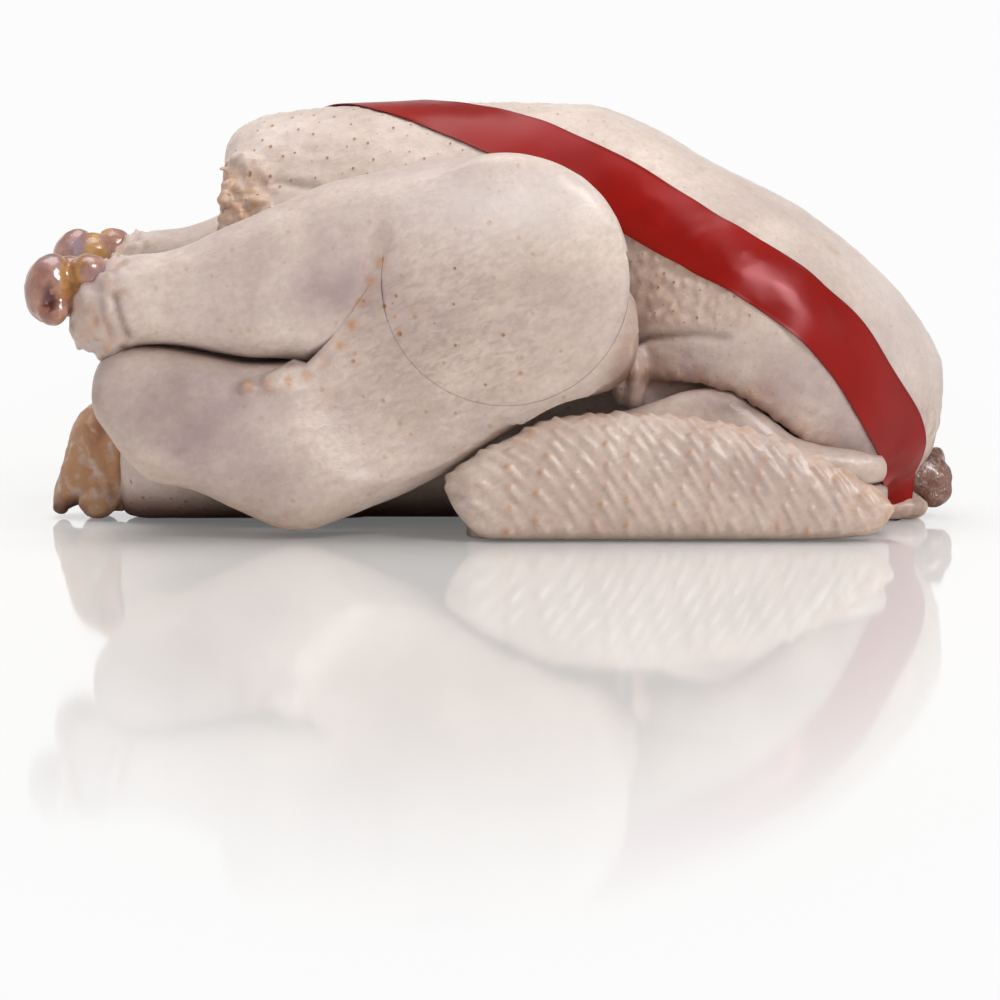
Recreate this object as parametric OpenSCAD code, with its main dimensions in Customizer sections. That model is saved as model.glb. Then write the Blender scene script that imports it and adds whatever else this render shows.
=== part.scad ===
// Posable rubber chicken: a plucked, oven-ready bird lying on its back, tied with a satin ribbon.
// Hollow-cast torso, four jointed limbs on snap studs, a cavity pouch and a squeaker.
// +X points to the neck, +Z to the breast, and the bird's own left side is at -Y. Millimetres.

/* [Torso] */
// Length of the hollow torso from the vent lip to the nose of the breast
torso_len = 269; // [262:1:276]
// Height of the breast above the flat of the back
torso_h = 153; // [150:1:160]
// Width across the breast
breast_w = 160; // [152:1:166]
// Width of the torso between the two legs
waist_w = 103; // [100:1:104]
// Thickness of the rubber skin
skin_wall = 3; // [2.5:0.5:4]
// Length of the rump behind the vent lip
rump_len = 41; // [38:1:44]
// Length of the tail behind the rump
tail_len = 24; // [20:1:26]

/* [Cavity] */
// Width of the vent opening
vent_w = 56; // [48:1:60]
// Height of the vent opening
vent_h = 54; // [44:1:58]
// Depth of the pouch behind the opening
pouch_depth = 88; // [70:1:100]
// Thickness of the pouch
pouch_wall = 1.6; // [1.2:0.2:2]

/* [Legs] */
// Hip stud, behind the middle of the bird
hip_x = -115; // [-117:1:-113]
// Height of the hip stud
hip_z = 34; // [32:1:36]
// Knee stud
knee_x = 5; // [3:1:7]
// Height of the knee stud
knee_z = 95; // [94:1:97]
// Radius of the round knee
knee_r = 45; // [43:1:46]
// Thickness of a leg, across the bird
leg_t = 46; // [42:1:50]
// Length of the drumstick from the knee stud to the cut skin at the hock
drum_len = 156; // [146:1:160]
// Radius of the bone's shaft
bone_r = 6; // [5:0.5:7]
// Length of bone that stands out of the skin
bone_out = 20; // [18:1:24]

/* [Wings] */
// Shoulder stud
shoulder_x = 134; // [132:1:136]
// Shoulder stud, distance from the middle of the bird
shoulder_y = 62; // [61:0.5:63]
// Elbow stud
elbow_x = 4; // [3:1:6]
// Elbow stud, distance from the middle of the bird
elbow_y = 76; // [75:0.5:77]
// Thickness of the forewing, across the bird
forewing_t = 20; // [18:1:23]
// Height of the forewing at its widest
forewing_h = 44; // [40:1:44]
// Height of the upper wing at its widest
upper_wing_h = 54; // [50:1:55]
// Forewing tip, ahead of the shoulder stud
tip_reach = 13; // [10:1:15]

/* [Studs] */
// Radius of the hip and knee posts
leg_post_r = 4; // [3.5:0.25:4.5]
// Radius of the shoulder and elbow posts
wing_post_r = 3; // [2.5:0.25:3.5]
// Thickness of a stud's disc
disc_t = 3; // [2:0.5:4]
// Running clearance round a post
post_gap = 0.08; // [0.05:0.01:0.1]
// Clearance between faces that turn on each other
face_gap = 0.4; // [0.3:0.1:0.6]

/* [Squeaker] */
// Radius of the squeaker's cup
squeaker_r = 9; // [8:0.5:10]
// Height of the squeaker's cup
squeaker_h = 14; // [12:1:16]

/* [Ribbon] */
// Width of the satin ribbon
ribbon_w = 25; // [15:1:30]
// Thickness of the ribbon
ribbon_t = 0.6; // [0.4:0.1:0.8]

/* [Hidden] */
$fn = 64;
SIDES = [["left", 1], ["right", -1]];
big = 500;
seat = 0.05;                       // clearance of a piece that is seated, glued or moulded in
floor_gap = 0.4;                   // limbs stay this far above the surface the torso rests on
skin_colour = "#e3cfc0";
wing_colour = "#e6d3bd";
stud_colour = "white";

// torso
vent_x = -100;
nose_x = vent_x + torso_len;
rump_x = vent_x - rump_len;
flat_sag = 2.5;                    // how far the round back is pressed flat
vent_z = 0.62 * torso_h;
hollow_wall = skin_wall + 0.5;     // a little more than the skin, for the chords of the facets
boss_r = 17;
boss_root = 24;
boss_face = waist_w / 2 + 1.5;     // hip bosses end here, just outside the skin

// legs, measured outward from the middle of the bird
leg_in = boss_face + face_gap;
leg_out = leg_in + leg_t;
leg_lap = leg_in + leg_t * 0.48;   // plane where the two knee lobes meet
thigh_back = hip_x - 31;
thigh_rim = 3;
crease = 0.7;                      // gap between the folded drumstick and the thigh
stud_r = 13;
washer_t = 2;
lock_t = 3;
hip_disc_y = leg_in + 8;
hip_washer_y = boss_root - washer_t;
knee_disc_y = leg_lap + 6;
knee_pocket_y = leg_in + 9;        // floor of the pocket round the knee stud's lock
hock_x = knee_x - drum_len;
shank_y = (leg_in + leg_out) / 2;
shank_z = knee_z - 8;
bone_deep = 62;
hock_head_r = 10.5;

// wings
lug_r = 12;
lug_lo = 3;
lug_hi = 18;
lug_root = 28;
wing_in = shoulder_y - 2;
wing_split = elbow_y + 3.5;        // the upper wing lies inside this, the forewing outside
forewing_in = wing_split + face_gap;
forewing_out = forewing_in + forewing_t;
elbow_plane = 16;
elbow_top = 26;
upper_lobe_r = 11;
fore_lobe_r = 16;
wing_stud_r = 8;
wing_disc_t = 2;
wing_washer_t = 1;
upper_wing_z = lug_hi + face_gap;
shoulder_disc_z = upper_wing_z + 8;
lug_pocket_z = lug_lo + 5;         // ceiling of the pocket round the shoulder stud's lock
elbow_disc_z = 4;
elbow_pocket_z = elbow_plane + face_gap + 5;
wing_clear = 3;                    // room between the wing and the hollow that it lies in

// neck and tail
neck_r = 10;
neck_z = 18;
neck_x = nose_x - 12;
neck_in = 9;
neck_out = 14;
neck_boss_len = 28;
tail_plug_r = 7;
tail_plug_l = 10;
tail_z = 22;

// squeaker
squeaker_x = -50;
squeaker_flange = 2;
squeaker_recess = 1;
squeaker_wall = 1.2;
reed_t = 0.5;

LIMB_PIECES = [
    "thigh", "hip_stud", "hip_lock", "knee_washer",
    "drumstick", "knee_stud", "knee_lock", "shank_bone",
    "upper_wing", "shoulder_stud", "shoulder_lock", "elbow_washer",
    "forewing", "elbow_stud", "elbow_lock"
];

// ---- shape functions ------------------------------------------------------------------------
function mix(a, b, t) = a + (b - a) * t;

// Slope of the station list at one station, so that uneven steps still blend smoothly.
function slope(st, i) =
    let (a = st[max(i - 1, 0)], b = st[min(i + 1, len(st) - 1)])
    (b - a) / (b[0] - a[0]);

// A station between two others, on a cubic curve through them.
function between(st, i, t) =
    let (p = st[i], q = st[i + 1], d = q[0] - p[0], t2 = t * t, t3 = t2 * t)
    p * (2 * t3 - 3 * t2 + 1) + slope(st, i) * d * (t3 - 2 * t2 + t)
    + q * (3 * t2 - 2 * t3) + slope(st, i + 1) * d * (t3 - t2);

function refine(st, steps) = [
    for (i = [0 : len(st) - 2]) for (k = [0 : steps - 1]) between(st, i, k / steps),
    st[len(st) - 1]
];

// Signed power, which makes a circle squarer or sharper.
function bent(v, n) = sign(v) * pow(abs(v), 2 / n);

// One point of the closed ring across the X axis at a station.
// A station is [x, y low, y high, z low, z middle, z high].
function ring_point(s, angle, n) =
    let (c = bent(cos(angle), n), q = bent(sin(angle), n))
    [s[0], (s[1] + s[2]) / 2 + c * (s[2] - s[1]) / 2,
     q > 0 ? mix(s[4], s[5], q) : mix(s[4], s[3], -q)];

// A closed solid through a list of stations.
module loft(stations, around = 20, steps = 2, n = 2.3) {
    st = refine(stations, steps);
    rings = len(st);
    points = [for (s = st) for (k = [0 : around - 1]) ring_point(s, 360 * k / around, n)];
    sides = [for (i = [0 : rings - 2]) for (k = [0 : around - 1])
        let (a = i * around + k, b = i * around + (k + 1) % around)
        each [[a, b + around, b], [a, a + around, b + around]]];
    caps = [[for (k = [0 : around - 1]) k],
            [for (k = [around - 1 : -1 : 0]) (rings - 1) * around + k]];
    polyhedron(points, concat(sides, caps));
}

// A station list shrunk by a wall, for the hollow inside.
function shrunk(stations, wall) = [
    for (i = [0 : len(stations) - 1])
        let (s = stations[i], end = i == 0 ? wall : i == len(stations) - 1 ? -wall : 0)
        [s[0] + end, s[1] + wall, s[2] - wall, s[3] + wall, s[4], s[5] - wall]
];

// Stations of a left limb, from rows of [x, inner y, outer y, z low, z high].
function limb(rows) = [for (r = rows) [r[0], -r[2], -r[1], r[3], (r[3] + r[4]) / 2, r[4]]];

// Everything on a limb is drawn on the bird's left, at -Y, and mirrored for its right.
module on_side(side) {
    if (side > 0) children();
    else mirror([0, 1, 0]) children();
}

module both_sides() {
    for (side = SIDES) on_side(side[1]) children();
}

// A rod across the bird from y0 out to y1, and one that stands at (x, y) from z0 up to z1.
module rod(at, r, y0, y1) {
    translate([at[0], -y0, at[1]]) rotate([90, 0, 0]) cylinder(r = r, h = y1 - y0);
}

module post(at, r, z0, z1) {
    translate([at[0], -at[1], z0]) cylinder(r = r, h = z1 - z0);
}

// ---- torso ----------------------------------------------------------------------------------
// Shares of [length, waist, flank, base, widest height, top] from the vent lip to the nose.
BREAST = [
    [0.00, 0.68, 0.00, 0.20, 0.60, 0.90],
    [0.02, 0.78, 0.00, 0.10, 0.60, 0.955],
    [0.07, 0.86, 0.00, 0.00, 0.59, 0.98],
    [0.20, 0.95, 0.00, 0.00, 0.57, 0.995],
    [0.37, 1.00, 0.00, 0.00, 0.56, 1.00],
    [0.46, 1.00, 0.00, 0.00, 0.55, 1.00],
    [0.53, 1.00, 0.02, 0.00, 0.55, 0.985],
    [0.60, 1.00, 0.50, 0.00, 0.54, 0.938],
    [0.68, 1.00, 0.93, 0.00, 0.52, 0.872],
    [0.75, 1.00, 1.00, 0.00, 0.50, 0.812],
    [0.81, 1.00, 0.86, 0.01, 0.47, 0.752],
    [0.88, 1.00, 0.40, 0.03, 0.41, 0.660],
    [0.94, 0.82, 0.00, 0.07, 0.34, 0.555],
    [0.98, 0.52, 0.00, 0.15, 0.30, 0.450],
    [1.00, 0.20, 0.00, 0.23, 0.30, 0.370]
];

function breast_stations() = [
    for (s = BREAST)
        let (half = s[1] * waist_w / 2 + s[2] * (breast_w - waist_w) / 2,
             base = s[3] > 0 ? s[3] * torso_h : -flat_sag)
        [vent_x + s[0] * torso_len, -half, half, base, s[4] * torso_h, s[5] * torso_h]
];

// The rump reaches back under the vent, between the two legs.
function rump_stations() = [
    [rump_x, -12, 12, 8, 20, 34],
    [rump_x + 4, -24, 24, 0, 20, 44],
    [rump_x + 22, -38, 38, -flat_sag, 24, 58],
    [vent_x, -43, 43, -flat_sag, 28, 70],
    [vent_x + 50, -44, 44, -flat_sag, 34, 82]
];

// The vent narrows inward. Grow widens it all round.
function vent_stations(grow, x0, x1) = [
    for (step = [[0, 1], [0.5, 0.94], [1, 0.7]])
        let (w = vent_w / 2 * step[1] + grow, h = vent_h / 2 * step[1] + grow)
        [mix(x0, x1, step[0]), -w, w, vent_z - h, vent_z, vent_z + h]
];

// The folded wing lies in a hollow under the overhang of the breast.
module wing_hollow(grow = 0) {
    roof = upper_wing_h + wing_clear + grow;
    both_sides() {
        translate([0, -wing_in + 2 + grow, 0]) rotate([90, 0, 0])
            linear_extrude(height = breast_w)
                polygon([[elbow_x - 24, -big / 10], [elbow_x - 24, roof],
                         [mix(elbow_x, shoulder_x, 0.72), roof],
                         [mix(elbow_x, shoulder_x, 0.88), roof - 10],
                         [shoulder_x + 18, roof - 25], [nose_x, roof - 31],
                         [nose_x, -big / 10]]);
        post([shoulder_x, shoulder_y], lug_r + 2.6 + grow, lug_hi - grow, lug_hi + 22 + grow);
    }
}

// Ears under the breast that carry the wings.
module shoulder_lugs() {
    both_sides() {
        post([shoulder_x, shoulder_y], lug_r, lug_lo, lug_hi);
        translate([shoulder_x - lug_r + 1, -shoulder_y, lug_lo])
            cube([2 * lug_r - 2, shoulder_y - lug_root, lug_hi - lug_lo]);
    }
}

module hip_bosses() {
    both_sides() rod([hip_x, hip_z], boss_r, boss_root, boss_face);
}

module squeaker_boss() {
    translate([squeaker_x, 0, 0])
        cylinder(r = squeaker_r + squeaker_flange + skin_wall,
                 h = squeaker_h + squeaker_recess + 1);
}

module neck_boss() {
    translate([neck_x - neck_boss_len, 0, neck_z]) rotate([0, 90, 0])
        cylinder(r = neck_r + skin_wall, h = neck_boss_len);
}

module tail_boss() {
    reach = tail_plug_r + skin_wall;
    translate([rump_x - 1, -reach, tail_z - reach])
        cube([tail_plug_l + skin_wall + 1, 2 * reach, 2 * reach]);
}

// The hollow, which leaves room for every boss that stands in it.
module torso_hollow() {
    difference() {
        union() {
            loft(shrunk(breast_stations(), hollow_wall), 24, 1);
            loft(shrunk(rump_stations(), hollow_wall), 20, 1);
        }
        translate([-big / 2, -big / 2, skin_wall - big]) cube(big);
        wing_hollow(skin_wall);
        hip_bosses();
        shoulder_lugs();
        squeaker_boss();
        neck_boss();
        tail_boss();
    }
}

module torso_bores() {
    both_sides() {
        rod([hip_x, hip_z], leg_post_r + post_gap, boss_root - 1, boss_face + 1);
        post([shoulder_x, shoulder_y], wing_post_r + post_gap, 0, lug_hi + 1);
        post([shoulder_x, shoulder_y], wing_stud_r + seat, 0, lug_pocket_z);
    }
    translate([squeaker_x, 0, -1]) {
        cylinder(r = squeaker_r + seat, h = squeaker_h + squeaker_recess + 4);
        cylinder(r = squeaker_r + squeaker_flange + seat,
                 h = 1 + squeaker_recess + squeaker_wall + seat);
    }
    translate([neck_x - neck_in, 0, neck_z]) rotate([0, 90, 0])
        cylinder(r = neck_r + seat, h = neck_in + 3 * neck_out);
    translate([rump_x - 1, 0, tail_z]) rotate([0, 90, 0])
        cylinder(r = tail_plug_r + seat, h = tail_plug_l + 1 + seat);
}

module torso_skin() {
    color(skin_colour) difference() {
        union() {
            difference() {
                union() {
                    loft(breast_stations(), 28, 3);
                    loft(rump_stations(), 22);
                }
                wing_hollow();
            }
            hip_bosses();
            shoulder_lugs();
            neck_boss();
        }
        torso_hollow();
        translate([-big / 2, -big / 2, -big]) cube(big);
        loft(vent_stations(seat, vent_x - 1, vent_x + pouch_depth), 20, 1, 2);
        torso_bores();
    }
}

// A soft cup lines the vent and holds what the bird is made to produce.
module vent_pouch() {
    lip = 1;
    color("#c98f7f") difference() {
        loft(vent_stations(0, vent_x - lip, vent_x + pouch_depth), 20, 1, 2);
        loft(vent_stations(-pouch_wall, vent_x - lip - 1, vent_x + pouch_depth - pouch_wall),
             20, 1, 2);
    }
}

module tail() {
    x0 = rump_x - seat;
    color("#d9a98a") {
        loft([
            [x0 - tail_len, -6, 6, 3, 6, 9],
            [x0 - tail_len + 4, -11, 11, 2, 13, 24],
            [x0 - tail_len * 0.4, -16, 16, 4, 20, 38],
            [x0, -15, 15, 6, 22, 40]
        ], 18, 2, 2.2);
        translate([rump_x - 1, 0, tail_z]) rotate([0, 90, 0])
            cylinder(r = tail_plug_r, h = tail_plug_l + 1);
    }
}

module neck_stump() {
    r = neck_r - seat;
    color("#7d2f28") {
        translate([neck_x - neck_in + seat, 0, neck_z]) rotate([0, 90, 0])
            cylinder(r = neck_r, h = neck_in);
        loft([
            [neck_x - 1, -r, r, neck_z - r, neck_z, neck_z + r],
            [neck_x + neck_out * 0.5, -r, r, neck_z - r, neck_z, neck_z + r],
            [neck_x + neck_out, -r * 0.7, r * 0.7, neck_z - r * 0.8, neck_z - r * 0.2,
             neck_z + r * 0.4]
        ], 18, 2, 2);
    }
}

// ---- squeaker: a cup with a reed, pushed up into the back ---------------------------------------
module at_squeaker() {
    translate([squeaker_x, 0, squeaker_recess]) children();
}

module squeaker_cup() {
    color("#f4f1e4") at_squeaker() difference() {
        union() {
            cylinder(r = squeaker_r, h = squeaker_h);
            cylinder(r = squeaker_r + squeaker_flange, h = squeaker_wall);
        }
        translate([0, 0, -1])
            cylinder(r = squeaker_r - squeaker_wall, h = squeaker_h + 1 - squeaker_wall);
        cylinder(r = squeaker_r / 4, h = squeaker_h + 1);
    }
}

// The reed lies over the cup's air hole.
module squeaker_reed() {
    long = squeaker_r * 1.2;
    color("#c9a24b") at_squeaker()
        translate([-long / 2, -long / 4, squeaker_h - squeaker_wall - reed_t])
            cube([long, long / 2, reed_t]);
}

module squeaker_cap() {
    color("#f4f1e4") at_squeaker() difference() {
        cylinder(r = squeaker_r - squeaker_wall - seat, h = squeaker_wall);
        for (a = [0 : 60 : 300]) rotate(a) translate([squeaker_r / 2, 0, -1])
            cylinder(r = squeaker_r / 9, h = squeaker_wall + 2);
    }
}

// ---- studs ----------------------------------------------------------------------------------
// A stud is a post with a broad disc. The disc is moulded into the limb, the post runs through
// the piece that it turns on, and a washer and a lock ring hold it there.
hip = [hip_x, hip_z];
knee = [knee_x, knee_z];
shoulder = [shoulder_x, shoulder_y];
elbow = [elbow_x, elbow_y];

module rod_ring(at, r_out, r_in, y0, y1) {
    difference() {
        rod(at, r_out, y0, y1);
        rod(at, r_in, y0 - 1, y1 + 1);
    }
}

module post_ring(at, r_out, r_in, z0, z1) {
    difference() {
        post(at, r_out, z0, z1);
        post(at, r_in, z0 - 1, z1 + 1);
    }
}

module hip_stud() {
    color(stud_colour) {
        rod(hip, stud_r, hip_disc_y + seat, hip_disc_y + seat + disc_t);
        rod(hip, leg_post_r, hip_washer_y - lock_t - 1, hip_disc_y + 1);
    }
}

module hip_lock() {
    color(stud_colour) rod_ring(hip, leg_post_r + 4, leg_post_r + seat / 2,
                                hip_washer_y - seat - lock_t, hip_washer_y - seat);
}

module hip_washers() {
    color(stud_colour) both_sides()
        rod_ring(hip, leg_post_r + 8, leg_post_r + post_gap, hip_washer_y, boss_root);
}

module knee_stud() {
    color(stud_colour) {
        rod(knee, stud_r, knee_disc_y + seat, knee_disc_y + seat + disc_t);
        rod(knee, leg_post_r, knee_pocket_y - washer_t - lock_t - 1, knee_disc_y + 1);
    }
}

module knee_washer() {
    color(stud_colour) rod_ring(knee, stud_r - 2, leg_post_r + post_gap,
                                knee_pocket_y - washer_t, knee_pocket_y);
}

module knee_lock() {
    y1 = knee_pocket_y - washer_t - seat;
    color(stud_colour) rod_ring(knee, leg_post_r + 4, leg_post_r + seat / 2, y1 - lock_t, y1);
}

module shoulder_stud() {
    z0 = shoulder_disc_z + seat;
    color(stud_colour) {
        post(shoulder, wing_stud_r, z0, z0 + wing_disc_t);
        post(shoulder, wing_post_r, lug_pocket_z - wing_washer_t - lock_t - 0.5, z0 + 1);
    }
}

module shoulder_washers() {
    color(stud_colour) both_sides()
        post_ring(shoulder, wing_stud_r - 1, wing_post_r + post_gap,
                  lug_pocket_z - wing_washer_t, lug_pocket_z);
}

module shoulder_lock() {
    z1 = lug_pocket_z - wing_washer_t - seat;
    color(stud_colour) post_ring(shoulder, wing_post_r + 3, wing_post_r + seat / 2, z1 - lock_t, z1);
}

module elbow_stud() {
    z0 = elbow_disc_z + seat;
    color(stud_colour) {
        post(elbow, wing_stud_r, z0, z0 + wing_disc_t);
        post(elbow, wing_post_r, z0 + 1, elbow_pocket_z + wing_washer_t + lock_t + 0.2);
    }
}

module elbow_washer() {
    color(stud_colour) post_ring(elbow, wing_stud_r - 2, wing_post_r + post_gap,
                                 elbow_pocket_z, elbow_pocket_z + wing_washer_t);
}

module elbow_lock() {
    z0 = elbow_pocket_z + wing_washer_t + seat;
    color(stud_colour) post_ring(elbow, wing_post_r + 2.5, wing_post_r + seat / 2, z0, z0 + lock_t);
}

// ---- legs -----------------------------------------------------------------------------------
// Height of the fold between thigh and drumstick at x. It falls from the hip towards the knee.
function fold_z(x) =
    let (share = (x - hip_x) / (knee_x - hip_x))
    mix(hip_z + 33.5, knee_z - 34.5, min(max(share, 0), 0.7) / 0.7);

function thigh_x(share) = mix(hip_x, knee_x, share);

// The thigh, from its rounded back end to the front of the knee.
module thigh_form() {
    low = knee_z - knee_r;
    loft(limb([
        [thigh_back, leg_in + 8, leg_out - 14, hip_z + 10, hip_z + 24],
        [thigh_back + 4, leg_in + 2, leg_out - 8, hip_z - 2, hip_z + 30],
        [thigh_back + 12, leg_in - 2, leg_out - 5, hip_z - 13, fold_z(hip_x)],
        [hip_x, leg_in - 2, leg_out - 3, hip_z - 23, fold_z(hip_x)],
        [thigh_x(0.22), leg_in - 2, leg_out - 1, floor_gap + 3, fold_z(thigh_x(0.22))],
        [thigh_x(0.35), leg_in - 2, leg_out, floor_gap, fold_z(thigh_x(0.35))],
        [thigh_x(0.5), leg_in - 2, leg_out, floor_gap + 4, fold_z(thigh_x(0.5))],
        [thigh_x(0.7), leg_in - 2, leg_out, 12, fold_z(thigh_x(0.7))],
        [thigh_x(0.85), leg_in - 2, leg_out, 22, low + 14],
        [knee_x, leg_in - 2, leg_out, low - 16, low + 30],
        [knee_x + knee_r * 0.6, leg_in + 2, leg_out - 2, low - 3, knee_z - 3],
        [knee_x + knee_r * 0.9, leg_in + 7, leg_out - 6, low + 6, knee_z - 3],
        [knee_x + knee_r + thigh_rim, leg_in + 14, leg_out - 14, low + 20, knee_z - 11]
    ]), 22, 1, 2.6);
}

module thigh() {
    color(skin_colour) difference() {
        intersection() {
            union() {
                thigh_form();
                rod(knee, knee_r - 7, leg_in, leg_lap - face_gap / 2);
                rod(knee, knee_r - 1, leg_in + 6, leg_lap - face_gap / 2);
            }
            translate([-big / 2, -leg_in - big, -1]) cube(big);
        }
        // the drumstick's outer lobe turns here
        rod(knee, knee_r + 0.6, leg_lap - face_gap / 2, leg_out + 1);
        // the folded wing lies under the front of the thigh
        translate([elbow_x - fore_lobe_r - wing_clear, -big, elbow_top + 2 - big])
            cube([big, big, big]);
        // bores and seats of the two studs
        rod(hip, leg_post_r + seat, leg_in - 1, hip_disc_y + 1);
        rod(hip, stud_r + seat, hip_disc_y, hip_disc_y + disc_t + 2 * seat);
        rod(knee, leg_post_r + post_gap, leg_in - 1, leg_out);
        rod(knee, stud_r - 1, leg_in - 1, knee_pocket_y);
    }
}

// The drumstick lies folded back along the thigh, and turns on the knee.
module drumstick_form() {
    function along(share) = mix(hock_x, knee_x, share);
    function low(share) = fold_z(along(share)) + crease;
    loft(limb([
        [hock_x - 1, shank_y - 7, shank_y + 7, shank_z - 8, shank_z + 8],
        [hock_x + 4, shank_y - 10, shank_y + 10, shank_z - 12, shank_z + 11],
        [hock_x + 12, shank_y - 13, shank_y + 13, shank_z - 16, shank_z + 12.5],
        [along(0.2), leg_in + 8, leg_out - 8, low(0.2), shank_z + 16],
        [along(0.35), leg_in + 5, leg_out - 6, low(0.35), shank_z + 25],
        [along(0.48), leg_in + 3, leg_out - 3, low(0.48), shank_z + 36],
        [along(0.64), leg_in + 1.5, leg_out - 1.5, low(0.64), knee_z + knee_r - 6],
        [along(0.82), leg_in + 1, leg_out - 1, low(0.82), knee_z + knee_r - 2],
        [knee_x, leg_in + 1, leg_out - 1, knee_z - knee_r + 2, knee_z + knee_r]
    ]), 22, 1, 2.4);
}

// Domed outer half of the knee.
module knee_dome() {
    y0 = leg_lap + face_gap / 2;
    t = leg_out - y0;
    translate([knee_x, -y0, knee_z]) rotate([90, 0, 0]) rotate_extrude()
        polygon([[0, 0], [knee_r, 0], [knee_r, t * 0.35],
                 for (a = [15 : 15 : 90]) [knee_r * pow(cos(a), 0.7),
                                           t * (0.35 + 0.65 * sin(a))]]);
}

module shank_bore() {
    translate([hock_x - bone_out, -shank_y, shank_z]) rotate([0, 90, 0])
        cylinder(r = bone_r + seat, h = bone_deep + bone_out + seat);
}

// The knobbed end of the shin bone, at the hock.
module hock_head(grow = 0) {
    tip = hock_x - bone_out;
    r = hock_head_r;
    function ring(x, w, low, high) =
        [tip + x, -shank_y - w - grow, -shank_y + w + grow, shank_z + low - grow,
         shank_z + (low + high) / 2, shank_z + high + grow];
    loft([
        ring(-grow, r * 0.45, -r * 0.4, r * 0.5),
        ring(r * 0.3, r * 0.85, -r * 0.72, r * 0.95),
        ring(r, r, -r * 0.8, r * 1.2),
        ring(r * 1.6, r * 0.8, -r * 0.6, r * 1.3),
        ring(r * 2.1, r * 0.66, -r * 0.55, r * 1.1),
        ring(r * 2.4 + grow, r * 0.45, -r * 0.4, r * 0.6)
    ], 18, 2, 2.1);
}

module drumstick() {
    color(skin_colour) difference() {
        union() {
            difference() {
                drumstick_form();
                rod(knee, knee_r + 0.6, 0, leg_lap + face_gap / 2);
            }
            knee_dome();
        }
        rod(knee, leg_post_r + seat, leg_lap - 1, knee_disc_y + 1);
        rod(knee, stud_r + seat, knee_disc_y, knee_disc_y + disc_t + 2 * seat);
        shank_bore();
        hock_head(0.3);
    }
}

// Moulded shin bone: a shaft with a knobbed head.
module shank_bone() {
    color("#a58f96") {
        translate([hock_x - bone_out / 2, -shank_y, shank_z]) rotate([0, 90, 0])
            cylinder(r = bone_r, h = bone_deep + bone_out / 2);
        hock_head();
    }
}

// ---- wings ----------------------------------------------------------------------------------
function wing_x(share) = mix(elbow_x, shoulder_x, share);

module upper_wing() {
    z0 = upper_wing_z;
    color(wing_colour) difference() {
        union() {
            loft(limb([
                [elbow_x + 3, elbow_y - 9, wing_split - 2, z0, elbow_top + 3],
                [wing_x(0.15), wing_in, wing_split, z0, upper_wing_h * 0.78],
                [wing_x(0.4), wing_in, wing_split, z0, upper_wing_h * 0.96],
                [wing_x(0.65), wing_in, wing_split, z0, upper_wing_h],
                [wing_x(0.84), wing_in - 1, wing_split - 1, z0, upper_wing_h * 0.81],
                [shoulder_x, shoulder_y - 3, wing_split - 4, z0, z0 + 14.6],
                [shoulder_x + lug_r, shoulder_y - 3, shoulder_y + 6, z0 + 2, z0 + 8.6]
            ]), 18, 2, 2.4);
            post(shoulder, lug_r, z0, shoulder_disc_z + wing_disc_t + 2);
            post(elbow, upper_lobe_r, elbow_plane + face_gap, elbow_top);
        }
        // the shoulder stud is moulded in
        post(shoulder, wing_post_r + seat, z0 - 1, shoulder_disc_z + 1);
        post(shoulder, wing_stud_r + seat, shoulder_disc_z,
             shoulder_disc_z + wing_disc_t + 2 * seat);
        // the elbow stud turns here, with its washer and lock in a pocket
        post(elbow, wing_post_r + post_gap, elbow_plane, elbow_top);
        post(elbow, wing_stud_r - 1, elbow_pocket_z, elbow_top + 20);
        // the forewing's lobe turns under this
        post(elbow, fore_lobe_r + 1, 0, elbow_plane + face_gap);
    }
}

module forewing() {
    tip_x = shoulder_x + tip_reach;
    function along(share) = mix(elbow_x, tip_x, share);
    y0 = forewing_in;
    y1 = forewing_out;
    h = forewing_h;
    color(wing_colour) difference() {
        union() {
            loft(limb([
                [elbow_x - fore_lobe_r, y0 - 6, y1 - 8, floor_gap + 3.6, h * 0.3],
                [elbow_x - fore_lobe_r * 0.6, y0 - 3, y1 - 4, floor_gap + 0.6, h * 0.45],
                [elbow_x, y0, y1 - 1, floor_gap, h * 0.66],
                [along(0.15), y0, y1, floor_gap, h * 0.89],
                [along(0.3), y0, y1, floor_gap, h],
                [along(0.5), y0, y1, floor_gap, h * 0.91],
                [along(0.7), y0, y1, floor_gap, h * 0.68],
                [along(0.88), y0, y1 - 2, floor_gap + 0.4, h * 0.44],
                [tip_x, y0 + 4, y1 - 6, floor_gap + 3.6, h * 0.24]
            ]), 20, 2, 2.5);
            post(elbow, fore_lobe_r, floor_gap, elbow_plane);
        }
        // the upper wing's lobe turns over the elbow
        post(elbow, upper_lobe_r + 0.6, elbow_plane, h);
        translate([elbow_x - 2 * fore_lobe_r, -y0, elbow_plane])
            cube([4 * fore_lobe_r, 2 * fore_lobe_r, h]);
        // the elbow stud is moulded in
        post(elbow, wing_post_r + seat, elbow_disc_z + 1, elbow_plane + 1);
        post(elbow, wing_stud_r + seat, elbow_disc_z, elbow_disc_z + wing_disc_t + 2 * seat);
    }
}

// ---- ribbon ---------------------------------------------------------------------------------
// Route of the ribbon round the torso: [share of the torso's length, angle round it], where
// 180 is the bird's left flank, 90 the breast, 0 the right flank and 270 the back.
RIBBON = [
    [0.89, 255], [0.93, 232], [0.935, 205], [0.89, 183], [0.80, 167], [0.70, 155],
    [0.60, 143], [0.50, 130], [0.42, 118], [0.335, 105], [0.265, 94], [0.205, 82],
    [0.165, 66], [0.145, 45], [0.145, 20], [0.16, 0], [0.19, -25], [0.24, -45],
    [0.36, -64], [0.54, -77], [0.72, -86], [0.82, -92]
];

function breast_at(x) =
    let (st = breast_stations(),
         i = max([for (k = [0 : len(st) - 2]) if (st[k][0] <= x) k]))
    between(st, i, (x - st[i][0]) / (st[i + 1][0] - st[i][0]));

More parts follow.
